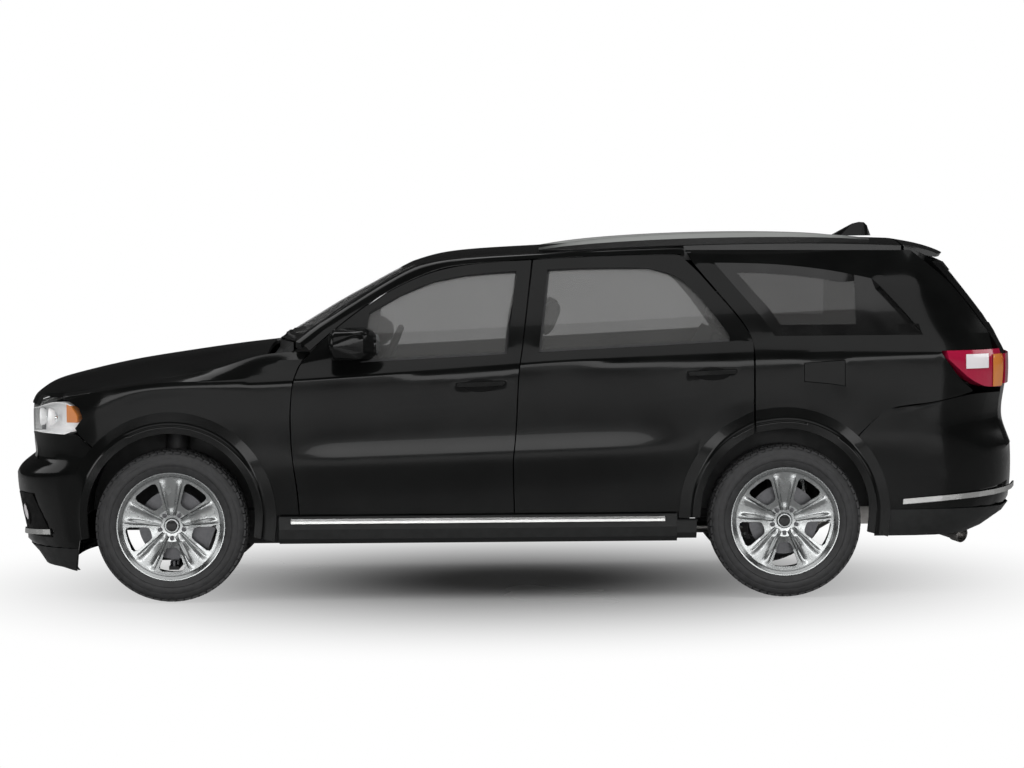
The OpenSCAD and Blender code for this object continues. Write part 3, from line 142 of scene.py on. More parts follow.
def set_sockets(node, sockets):
    for key, value in sockets.items():
        node.inputs[key.replace("_", " ")].default_value = value


def add_node(mat, kind, **sockets):
    node = mat.node_tree.nodes.new(kind)
    set_sockets(node, sockets)
    return node


def join(mat, out, to):
    mat.node_tree.links.new(out, to)


def place_noise(mat, scale, detail, stretch):
    """Noise over the piece's own place, stretched along an axis where a finish has a direction"""
    where = add_node(mat, "ShaderNodeTexCoord")
    turn = add_node(mat, "ShaderNodeMapping", Scale=stretch)
    noise = add_node(mat, "ShaderNodeTexNoise", Scale=scale, Detail=detail)
    join(mat, where.outputs["Object"], turn.inputs["Vector"])
    join(mat, turn.outputs["Vector"], noise.inputs["Vector"])
    return noise


def two_tones(mat, noise, low, high, target):
    ramp = add_node(mat, "ShaderNodeValToRGB")
    tones = ((TONE_LOW, low), (TONE_HIGH, high))
    for element, (position, colour) in zip(ramp.color_ramp.elements, tones):
        element.position = position
        element.color = (*colour, 1)
    join(mat, noise.outputs["Fac"], ramp.inputs["Fac"])
    join(mat, ramp.outputs["Color"], target)


def spread(mat, noise, low, high, target):
    span = add_node(mat, "ShaderNodeMapRange", From_Min=GLOSS_FROM, From_Max=GLOSS_TO, To_Min=low,
                    To_Max=high)
    join(mat, noise.outputs["Fac"], span.inputs["Value"])
    join(mat, span.outputs["Result"], target)


def raise_grain(mat, shader, noise, strength, depth):
    bump = add_node(mat, "ShaderNodeBump", Strength=strength, Distance=depth)
    join(mat, noise.outputs["Fac"], bump.inputs["Height"])
    join(mat, bump.outputs["Normal"], shader.inputs["Normal"])


def finish(name, colour, rough, metal=0.0, vary=0.15, grain=60.0, fine=900.0, bump=0.1, depth=0.0004,
           stretch=(1, 1, 1), **sockets):
    """A finish with slow colour change, uneven gloss and a fine grain"""
    mat, shader = new_material(name)
    set_sockets(shader, dict(sockets, Metallic=metal))
    slow = place_noise(mat, grain, SLOW_DETAIL, stretch)
    fast = place_noise(mat, fine, FAST_DETAIL, stretch)
    dark = [c * (1 - vary) for c in colour]
    light = [min(c * (1 + vary), 1) for c in colour]
    two_tones(mat, slow, dark, light, shader.inputs["Base Color"])
    shine, matt = rough * (1 - UNEVEN_GLOSS), min(rough * (1 + UNEVEN_GLOSS), 1)
    spread(mat, slow, shine, matt, shader.inputs["Roughness"])
    raise_grain(mat, shader, fast, bump, depth)
    return mat


def glass_finish(name, tint, shade, opacity):
    """Glass in a share of the windows' tint"""
    mat = finish(name, [c * shade for c in tint], GLASS_ROUGHNESS, vary=0.05, grain=3.0, fine=30.0,
                 bump=0.004, depth=0.0002, Alpha=opacity, IOR=GLASS_IOR)
    mat.surface_render_method = "BLENDED"
    return mat


def lens_finish(name, colour, opacity):
    """Moulded lens with fine upright flutes"""
    mat, shader = new_material(name)
    set_sockets(shader, {"Base Color": (*colour, 1), "Alpha": opacity, "Coat Weight": LENS_COAT})
    where = add_node(mat, "ShaderNodeTexCoord")
    flutes = add_node(mat, "ShaderNodeTexWave", Scale=FLUTES, Distortion=FLUTE_WAVER)
    flutes.bands_direction = "X"
    join(mat, where.outputs["Object"], flutes.inputs["Vector"])
    spread(mat, flutes, FLUTE_SHINE, FLUTE_MATT, shader.inputs["Roughness"])
    raise_grain(mat, shader, flutes, FLUTE_STRENGTH, FLUTE_DEPTH)
    mat.surface_render_method = "BLENDED"
    return mat


def make_paint_and_glass(colours):
    MATS["paint"] = finish("black_gloss_paint", colours.paint, 0.15, vary=0.2, grain=4.0, fine=420.0,
                           bump=0.015, depth=0.0003, Coat_Weight=0.25, Coat_Roughness=0.02, Coat_IOR=1.3,
                           Specular_IOR_Level=0.13)
    MATS["glass"] = glass_finish("tinted_glass", colours.glass, 1.0, 0.45)
    MATS["dark_glass"] = glass_finish("privacy_glass", colours.glass, 0.5, 0.62)
    MATS["screen"] = glass_finish("screen_glass", colours.glass, 0.6, 0.55)


def make_metals(colours):
    MATS["alloy"] = finish("polished_alloy", colours.alloy, 0.26, metal=1.0, vary=0.03, grain=25.0,
                           fine=700.0, bump=0.004, depth=0.0002)
    MATS["bright"] = finish("bright_trim", (0.62, 0.62, 0.61), 0.16, metal=1.0, vary=0.05, grain=30.0,
                            fine=800.0, bump=0.02, depth=0.0002, stretch=BRUSHED)
    MATS["satin"] = finish("satin_rail", (0.24, 0.247, 0.24), 0.38, metal=1.0, vary=0.05, grain=40.0,
                           fine=900.0, bump=0.03, depth=0.0002, stretch=BRUSHED)
    MATS["iron"] = finish("brake_iron", (0.11, 0.11, 0.115), 0.42, metal=1.0, vary=0.15, grain=50.0,
                          fine=600.0, bump=0.1)
    MATS["steel"] = finish("chassis_steel", (0.03, 0.03, 0.031), 0.55, metal=0.3, vary=0.35, grain=14.0,
                           fine=300.0, bump=0.25)
    MATS["exhaust"] = finish("exhaust_steel", (0.3, 0.29, 0.28), 0.35, metal=1.0, vary=0.2, grain=18.0,
                             fine=400.0, bump=0.15)
    MATS["mirror"] = finish("mirror_glass", (0.8, 0.82, 0.83), 0.03, metal=1.0, vary=0.03, grain=6.0,
                            fine=60.0, bump=0.002, depth=0.0001)


def make_plastics(colours):
    MATS["rubber"] = finish("tyre_rubber", colours.rubber, 0.62, vary=0.25, grain=40.0, fine=500.0, bump=0.25)
    MATS["cladding"] = finish("grained_plastic", colours.cladding, 0.5, vary=0.15, grain=30.0, fine=900.0,
                              bump=0.3, Specular_IOR_Level=0.25)
    MATS["gloss_black"] = finish("gloss_black_trim", (0.008, 0.008, 0.008), 0.12, vary=0.2, grain=8.0,
                                 fine=300.0, bump=0.01, depth=0.0002, Coat_Weight=0.2,
                                 Specular_IOR_Level=0.25)
    # Matte black for the fog bezels and pockets; on the dishes behind the door handles it is painted shade
    MATS["dark_trim_and_shade"] = finish("matte_black_and_painted_shade", (0.005, 0.005, 0.005), 0.6, vary=0.2, grain=30.0, fine=600.0,
                            bump=0.2, Specular_IOR_Level=0.1)
    MATS["cabin"] = finish("cabin_plastic", (0.024, 0.024, 0.025), 0.55, vary=0.2, grain=40.0, fine=700.0,
                           bump=0.3)
    MATS["seat"] = finish("seat_leather", colours.seat, 0.5, vary=0.2, grain=18.0, fine=260.0, bump=0.4,
                          Sheen_Weight=0.15)
    MATS["plate"] = finish("blank_plate", (0.6, 0.6, 0.58), 0.35, vary=0.03, grain=20.0, fine=500.0,
                           bump=0.05)


def make_lamp_finishes(colours):
    MATS["chrome"] = finish("lamp_chrome", (0.95, 0.95, 0.95), 0.25, vary=0.02, grain=20.0, fine=200.0,
                            bump=0.02, depth=0.0002)
    MATS["clear_lens"] = lens_finish("clear_lens", (0.8, 0.82, 0.84), 0.06)
    MATS["red_lens"] = lens_finish("red_lens", colours.red_lens, 1.0)
    MATS["white_lens"] = lens_finish("white_lens", (0.75, 0.72, 0.74), 1.0)
    MATS["amber_lens"] = lens_finish("amber_lens", (0.6, 0.2, 0.04), 1.0)


# Making pieces

def put_piece(name, bm, mat, body, sharp=SMOOTH_UNDER):
    """Makes an object of a bmesh, smooth but for its sharp edges, that rides on a body"""
    mesh = bpy.data.meshes.new(name)
    bm.to_mesh(mesh)
    bm.free()
    mesh.materials.append(MATS[mat])
    mesh.polygons.foreach_set("use_smooth", [True] * len(mesh.polygons))
    mesh.set_sharp_from_angle(angle=sharp)
    piece = bpy.data.objects.new(name, mesh)
    bpy.context.scene.collection.objects.link(piece)
    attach(piece, body)
    return piece


def node_copy(node):
    """A CAD node's mesh with its loose triangles joined up"""
    bm = bmesh.new()
    bm.from_mesh(NODES[node].data)
    bmesh.ops.remove_doubles(bm, verts=bm.verts, dist=MERGE)
    bmesh.ops.dissolve_degenerate(bm, dist=FINE, edges=bm.edges)
    return bm


def to_quads(bm):
    bmesh.ops.join_triangles(bm, faces=bm.faces, angle_face_threshold=QUAD_FLAT,
                             angle_shape_threshold=QUAD_SQUARE)


def subdivide(piece, levels):
    smooth = piece.modifiers.new("smooth", "SUBSURF")
    smooth.levels = levels
    smooth.render_levels = levels


def smooth_panel(node, mat, levels=2):
    """Turns a faceted panel into a smooth one that keeps its rims"""
    bm = node_copy(node)
    to_quads(bm)
    crease = bm.edges.layers.float.new("crease_edge")
    for edge in bm.edges:
        if len(edge.link_faces) != 2 or edge.calc_face_angle(0) > CREASE_OVER:
            edge[crease] = 1.0
    piece = put_piece(node + "_skin", bm, mat, BODY_OF[node])
    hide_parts(node)
    subdivide(piece, levels)


def give(mat, *nodes):
    """Gives CAD nodes that keep their shape a finish"""
    for node in nodes:
        NODES[node].data.materials.clear()
        NODES[node].data.materials.append(MATS[mat])


def keep_faces(bm, test):
    bm.normal_update()
    bmesh.ops.delete(bm, geom=[f for f in bm.faces if not test(f)], context="FACES")
    bm.normal_update()


def cut(bm, point, normal, clear=True):
    """Cuts along a plane, and clears what lies beyond it"""
    bmesh.ops.bisect_plane(bm, geom=bm.verts[:] + bm.edges[:] + bm.faces[:], dist=FINE, plane_co=point,
                           plane_no=normal, clear_outer=clear)


def cut_to_box(bm, low, high):
    """Keeps what lies between two corners, where None leaves a side open"""
    for axis in range(3):
        for limit, away in ((low[axis], -1), (high[axis], 1)):
            if limit is None:
                continue
            unit = Vector([k == axis for k in range(3)])
            cut(bm, unit * limit, unit * away)


def lift(bm, distance):
    bm.normal_update()
    moves = [(v, v.normal * distance) for v in bm.verts]
    for vert, move in moves:
        vert.co += move


def thicken(bm, rise, thick):
    """Lifts a sheet off the node that it was cut from and gives it a wall"""
    lift(bm, rise)
    bmesh.ops.solidify(bm, geom=bm.faces, thickness=thick)
    bmesh.ops.recalc_face_normals(bm, faces=bm.faces)


def facing(face):
    """How far a face looks away from the vehicle's middle, lengthways and sideways"""
    middle = face.calc_center_median()
    end = -1 if middle.x < 0 else 1
    side = -1 if middle.y < 0 else 1
    return face.normal.x * end, face.normal.y * side


def outward(face):
    """Whether an upright face looks away from the vehicle's middle"""
    end, side = facing(face)
    return abs(face.normal.z) < UPRIGHT and (end > ENDWARD or side > SIDEWARD)


def skin_patch(node, low, high, rise, thick, test=outward):
    """A thin piece cut from a node's outer faces inside a box"""
    bm = node_copy(node)
    keep_faces(bm, test)
    cut_to_box(bm, low, high)
    thicken(bm, rise, thick)
    return bm


def put_patch(name, mat, slot, node, *patch):
    """Puts a thin piece cut from a node onto the node's body"""
    put_piece(name, skin_patch(node, *patch), mat, BODY_OF[node])


def spin_profile(bm, points, middle, axis, steps):
    """Turns an outline of (along, radius) about an axis through a point"""
    axis = Vector(axis).normalized()
    across = axis.orthogonal().normalized()
    middle = Vector(middle)
    verts = [bm.verts.new(middle + axis * a + across * r) for a, r in points]
    edges = [bm.edges.new(pair) for pair in zip(verts, verts[1:])]
    bmesh.ops.spin(bm, geom=verts + edges, cent=middle, axis=axis, angle=math.tau, steps=steps,
                   use_merge=True)
    bmesh.ops.remove_doubles(bm, verts=bm.verts, dist=MERGE)
    bmesh.ops.recalc_face_normals(bm, faces=bm.faces)


def add_block(bm, matrix, size, rim=0.0, segments=2):
    """A block with rounded rims"""
    made = bmesh.ops.create_cube(bm, size=1.0, matrix=matrix @ Matrix.Diagonal((*size, 1)))
    if rim:
        edges = {e for v in made["verts"] for e in v.link_edges}
        bmesh.ops.bevel(bm, geom=list(edges), offset=rim, segments=segments, profile=0.5, affect="EDGES",
                        material=-1)


def put_block(name, mat, body, slot, *block):
    """Puts a piece that is a single block"""
    bm = bmesh.new()
    add_block(bm, *block)
    put_piece(name, bm, mat, body)


def add_tube(bm, start, end, radius, segments):
    way = end - start
    turn = way.to_track_quat("Z", "Y").to_matrix().to_4x4()
    bmesh.ops.create_cone(bm, cap_ends=True, segments=segments, radius1=radius, radius2=radius,
                          depth=way.length, matrix=Matrix.Translation((start + end) / 2) @ turn)


def surface_of(node):
    bm = node_copy(node)
    tree = BVHTree.FromBMesh(bm)
    bm.free()
    return tree


def spot_on(tree, start, way):
    """Where a line meets a node's surface, and which way the surface faces there"""
    spot, normal = tree.ray_cast(Vector(start), Vector(way))[:2]
    if spot is None:
        raise RuntimeError("no surface on this line")
    return spot, normal


def tyre_sizes(corner):
    """A tyre's middle, half its width and its radius"""
    low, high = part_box("tyre_" + corner)
    return (low + high) / 2, (high.y - low.y) / 2, (high.z - low.z) / 2


# Operators

class VEHICLE_OT_panels(bpy.types.Operator):
    """Smooths the painted body panels"""

    bl_idname = "vehicle.panels"
    bl_label = "Body Panels"

    PAINTED = ("front_door_left", "front_door_right", "rear_door_left", "rear_door_right", "front_fenders",
               "quarter_panels", "roof_strips", "roof_panel", "hood", "tailgate", "spoiler", "arch_flares",
               "front_bumper", "rear_bumper", "mirror_left", "mirror_right", "fuel_flap")
    RAIL_RISE, RAIL_SKIN = 0.0008, -0.0016

    def execute(self, context):
        for node in self.PAINTED:
            smooth_panel(node, "paint")
        give("paint", "roof_fin")
        give("cladding", "cowl_panel", "sill_cladding", "wheel_housings")
        give("bright", "bright_strips")
        smooth_panel("roof_rails", "satin")
        put_patch("rail_bases", "gloss_black", "paint", "roof_rails", ANYWHERE, ANYWHERE, self.RAIL_RISE,
                  self.RAIL_SKIN, self.rail_side)
        return {"FINISHED"}

    @staticmethod
    def rail_side(face):
        """Whether a face is on the lower half of a rail's side"""
        return face.normal.z < 0 and abs(face.normal.y) > SIDEWARD


class VEHICLE_OT_glazing(bpy.types.Operator):
    """Fits the panes with their seals and dark bands"""

    bl_idname = "vehicle.glazing"
    bl_label = "Glazing"

    BAND_RISE = 0.0012
    FRIT_FRONT, FRIT_RISE, FRIT_SKIN = 1.705, 0.001, -0.001
    UPWARD, REARWARD = 0.3, 0.4

    def execute(self, context):
        sizes = context.scene.vehicle_sizes
        for side in SIDES:
            for row in ("front", "rear"):
                pane = f"{row}_window_{side}"
                smooth_panel(pane, "glass")
                self.band(pane + "_seal", pane, sizes.seal_width, "rubber", "tyre", outward)
        self.fixed_pane("quarter_frit", "quarter_windows", "dark_glass", sizes.frit_width, outward)
        put_patch("quarter_frit_rear", "gloss_black", "paint", "quarter_windows",
                  (self.FRIT_FRONT, None, None), ANYWHERE, self.FRIT_RISE, self.FRIT_SKIN)
        self.fixed_pane("windscreen_frit", "windscreen", "screen", sizes.frit_width, self.upward)
        self.fixed_pane("tailgate_frit", "tailgate_window", "dark_glass", sizes.frit_width, self.rearward)
        return {"FINISHED"}

    def upward(self, face):
        return face.normal.z > self.UPWARD and face.normal.x < 0

    def rearward(self, face):
        return face.normal.x > self.REARWARD

    def fixed_pane(self, name, node, mat, width, test):
        """A pane with a dark band round it"""
        smooth_panel(node, mat)
        self.band(name, node, width, "gloss_black", "paint", test)

    def band(self, name, node, width, mat, slot, test):
        """A band along the rim of a pane"""
        bm = node_copy(node)
        keep_faces(bm, test)
        to_quads(bm)
        made = bmesh.ops.inset_region(bm, faces=bm.faces[:], thickness=width, use_even_offset=True,
                                      use_boundary=True)
        rim = set(made["faces"])
        if not rim:
            raise RuntimeError("no band was made on " + node)
        bmesh.ops.delete(bm, geom=[f for f in bm.faces if f not in rim], context="FACES")
        lift(bm, self.BAND_RISE)
        put_piece(name, bm, mat, BODY_OF[node])


class VEHICLE_OT_tyres(bpy.types.Operator):
    """Models the tyres with their tread blocks"""

    bl_idname = "vehicle.tyres"
    bl_label = "Tyres"

    # The sidewall's points: in from its face, and out from the bead or in from the tread
    BEAD_IN = 0.012
    LOWER_WALL = ((0.026, 0.0), (0.014, 0.018), (0.006, 0.03), (0.002, 0.044), (0.0045, 0.046),
                  (0.001, 0.052))
    UPPER_WALL = ((0.003, 0.046), (0.0055, 0.043), (0.006, 0.036), (0.02, 0.014))
    SHOULDER, RIB_FOOT, RIB_TOP = 0.03, 0.018, 0.016
    # The tread's rows: place across, width and start within a pitch
    ROWS = ((-0.100, 0.034, 0.0), (-0.052, 0.042, 0.5), (0.052, 0.042, 0.0), (0.100, 0.034, 0.5))
    EDGE_ROW, EDGE_DROP, EDGE_LEAN = 0.08, 0.004, 0.12
    SKEW = math.radians(14)
    # A block's length within its pitch, and its sink and height in tread depths
    BLOCK_LONG, BLOCK_SINK, BLOCK_TALL = 0.8, 0.6, 1.2
    STEPS, SHARP = 96, math.radians(30)

    def execute(self, context):
        sizes = context.scene.vehicle_sizes
        for corner in CORNERS:
            node = "tyre_" + corner
            middle, half, radius = tyre_sizes(corner)
            base = radius - sizes.tread_depth
            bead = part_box("wheel_" + corner)[1].z - middle.z - self.BEAD_IN
            wall = [(deep - half, bead + out) for deep, out in self.LOWER_WALL]
            wall.append((-half, (bead + radius) / 2))
            wall += [(deep - half, radius - back) for deep, back in self.UPPER_WALL]
            wall.append((self.SHOULDER - half, base))
            foot, top = self.RIB_FOOT, self.RIB_TOP
            rib = [(-foot, base), (-top, radius), (top, radius), (foot, base)]
            bm = bmesh.new()
            spin_profile(bm, wall + rib + [(-a, r) for a, r in reversed(wall)], middle, (0, 1, 0), self.STEPS)
            self.blocks(bm, middle, radius, sizes)
            piece = put_piece(node + "_tread", bm, "rubber", BODY_OF[node], self.SHARP)
            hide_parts(node)
        return {"FINISHED"}

    def blocks(self, bm, middle, radius, sizes):
        """Rows of slanted blocks, of which the outer rows lie lower and lean outwards"""
        step = math.tau / sizes.tread_pitches
        long, tall = radius * step * self.BLOCK_LONG, sizes.tread_depth * self.BLOCK_TALL
        for place, width, start in self.ROWS:
            edge = abs(place) > self.EDGE_ROW
            height = radius - (self.EDGE_DROP if edge else 0.0) - sizes.tread_depth * self.BLOCK_SINK
            lean = Matrix.Rotation(-math.copysign(self.EDGE_LEAN, place) if edge else 0.0, 4, "X")
            skew = Matrix.Rotation(math.copysign(self.SKEW, place), 4, "Z")
            for k in range(sizes.tread_pitches):
                turn = Matrix.Translation(middle) @ Matrix.Rotation((k + start) * step, 4, "Y")
                spot = turn @ Matrix.Translation((0, place, height)) @ lean @ skew
                add_block(bm, spot, (long, width, tall))


class VEHICLE_OT_wheels(bpy.types.Operator):
    """Adds the sculpted spokes, the rim edge, the caps, the nuts and the valve to the polished wheels"""

    bl_idname = "vehicle.wheels"
    bl_label = "Wheels"

    SPOKES = 5
    # The spokes' depth and half width, by radius
    FACE = ((0.04, 0.074), (0.08, 0.07), (0.15, 0.052), (0.25, 0.033))
    WIDTHS = ((0.04, 0.02), (0.105, 0.036), (0.2, 0.062), (0.25, 0.072))
    INNER, OUTER = 0.052, 0.25
    ALONG, ACROSS = 20, 24
    RIDGE_PLACE, RIDGE_WIDTH, RIDGE_LEAD, RIDGE_END = 0.66, 0.22, 0.12, 0.88
    RIM_PLACE, RIM_SINK = 0.86, 0.014
    FACE_RISE, SPOKE_WALL = 0.0012, 0.003
    HUB_SWELL, HUB_PLACE, HUB_REACH = 0.005, 0.0635, 0.026
    NUT, NUT_CIRCLE, NUT_DEEP, NUT_TOP = 0.0105, 0.0635, 0.08, 0.06
    WASHER, WASHER_BACK = 1.3, 0.012
    NUT_END = ((-0.002, 0.0), (-0.002, 0.8), (0.002, 0.6), (0.003, 0.0))
    # Outlines of (along, radius)
    EDGE = ((0.040, 0.234), (0.031, 0.246), (0.021, 0.256), (0.0135, 0.262), (0.0125, 0.2685),
            (0.018, 0.272), (0.03, 0.27))
    CAP = ((-0.006, 0.0), (-0.006, 0.028), (0.004, 0.028), (0.008, 0.024), (0.0095, 0.0))
    CAP_DEPTH = 0.062
    VALVE = ((0.0, 0.0), (0.0, 0.005), (0.03, 0.004), (0.036, 0.003), (0.036, 0.0))
    VALVE_PLACE, VALVE_DEPTH, VALVE_LEAN = 0.222, 0.045, -0.5
    EDGE_STEPS, CAP_STEPS, NUT_STEPS, NUT_SIDES, VALVE_STEPS = 96, 48, 24, 6, 12

    def execute(self, context):
        rise = context.scene.vehicle_sizes.ridge_height
        for corner in CORNERS:
            node = "wheel_" + corner
            body = BODY_OF[node]
            give("alloy", node)
            give("iron", "disc_" + corner)
            middle, half = tyre_sizes(corner)[:2]
            side = SIDES[corner.split("_")[1]]
            out = (0, side, 0)
            ridges, edge, cap, nuts, valve = (bmesh.new() for piece in range(5))
            for k in range(self.SPOKES):
                self.spoke(ridges, middle, half, side, k * math.tau / self.SPOKES, rise)
                self.nut(nuts, middle, half, side, (k + 0.5) * math.tau / self.SPOKES)
            bmesh.ops.recalc_face_normals(ridges, faces=ridges.faces)
            spin_profile(edge, [(half - deep, r) for deep, r in self.EDGE], middle, out, self.EDGE_STEPS)
            dome = [(half - self.CAP_DEPTH + a, r) for a, r in self.CAP]
            spin_profile(cap, dome, middle, out, self.CAP_STEPS)
            stem = middle + Vector((self.VALVE_PLACE, side * (half - self.VALVE_DEPTH), 0))
            spin_profile(valve, self.VALVE, stem, (self.VALVE_LEAN, side, 0), self.VALVE_STEPS)
            put_piece(node + "_ridges", ridges, "alloy", body)
            put_piece(node + "_edge", edge, "alloy", body)
            put_piece(node + "_cap", cap, "gloss_black", body)
            put_piece(node + "_nuts", nuts, "iron", body)
            put_piece(node + "_valve", valve, "rubber", body)
        return {"FINISHED"}

    def nut(self, bm, middle, half, side, angle):
        """A six sided nut with a washer face and a rounded end"""
        spot = middle + Vector((math.sin(angle), 0, math.cos(angle))) * self.NUT_CIRCLE
        deep, top = half - self.NUT_DEEP, half - self.NUT_TOP
        add_tube(bm, spot + Vector((0, side * deep, 0)), spot + Vector((0, side * top, 0)), self.NUT,
                 self.NUT_SIDES)
        rim, face = self.NUT * self.WASHER, top - self.WASHER_BACK
        washer = [(deep, 0.0), (deep, rim), (face, rim), (face, 0.0)]
        end = [(top + rise, self.NUT * share) for rise, share in self.NUT_END]
        for outline in (washer, end):
            spin_profile(bm, outline, spot, (0, side, 0), self.NUT_STEPS)

    @staticmethod
    def along(table, r):
        """Reads a value off a line of (radius, value) points"""
        for (r0, v0), (r1, v1) in zip(table, table[1:]):
            if r <= r1:
                return v0 + (v1 - v0) * (r - r0) / (r1 - r0)
        return table[-1][1]

    def spoke(self, bm, middle, half, side, angle, rise):
        """A broad spoke whose two ridges part towards the rim, with a shallow valley between them"""
        turn = Matrix.Translation(middle) @ Matrix.Rotation(angle, 4, "Y")
        verts = bmesh.ops.create_grid(bm, x_segments=self.ALONG, y_segments=self.ACROSS, size=0.5)["verts"]
        for vert in verts:
            share, across = vert.co.x + 0.5, vert.co.y * 2
            r = self.INNER + (self.OUTER - self.INNER) * share
            ridge = math.exp(-((abs(across) - self.RIDGE_PLACE) / self.RIDGE_WIDTH) ** 2)
            swell = 0.0
            if share < self.RIDGE_END:
                swell = math.sin(math.pi * min(share + self.RIDGE_LEAD, 1)) ** 0.5
            sink = max((abs(across) - self.RIM_PLACE) / (1 - self.RIM_PLACE), 0) * self.RIM_SINK
            hub = max(1 - ((r - self.HUB_PLACE) / self.HUB_REACH) ** 2, 0) * self.HUB_SWELL
            out = half - self.along(self.FACE, r) + rise * ridge * swell + hub + self.FACE_RISE - sink
            vert.co = (across * self.along(self.WIDTHS, r), side * out, r)
        bmesh.ops.transform(bm, matrix=turn, verts=verts)
        faces = list({f for v in verts for f in v.link_faces})
        bmesh.ops.recalc_face_normals(bm, faces=faces)
        bmesh.ops.solidify(bm, geom=faces, thickness=self.SPOKE_WALL)


class VEHICLE_OT_running_gear(bpy.types.Operator):
    """Gives the chassis and the exhaust their finishes and adds sleeves to the tailpipes"""

    bl_idname = "vehicle.running_gear"
    bl_label = "Running Gear"

    SLEEVE, LIP = 0.05, 0.004
    BORE, FOOT, RIM, LIP_RADIUS = 0.0365, 0.0375, 0.0415, 0.039
    PIPE_IN, PIPE_HEIGHT, PIPE_WAY = 0.036, 0.275, (0.218, 0.25, -0.062)
    STEPS = 32

    def execute(self, context):
        give("steel", "floor_pan", "pillars", "front_suspension", "rear_suspension", "powertrain")
        give("iron", "knuckle_left", "knuckle_right")
        give("exhaust", "exhaust")
        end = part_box("exhaust")[1]
        sleeve = [(0.0, self.FOOT), (0.0, self.RIM), (self.SLEEVE, self.RIM),
                  (self.SLEEVE + self.LIP, self.LIP_RADIUS), (self.SLEEVE, self.BORE), (0.0, self.BORE),
                  (0.0, self.FOOT)]
        back, out, up = self.PIPE_WAY
        bm = bmesh.new()
        for side in SIDES.values():
            pipe = (end.x - self.SLEEVE, side * (end.y - self.PIPE_IN), self.PIPE_HEIGHT)
            spin_profile(bm, sleeve, pipe, (back, side * out, up), self.STEPS)
        put_piece("tailpipe_sleeves", bm, "exhaust", "body")
        return {"FINISHED"}


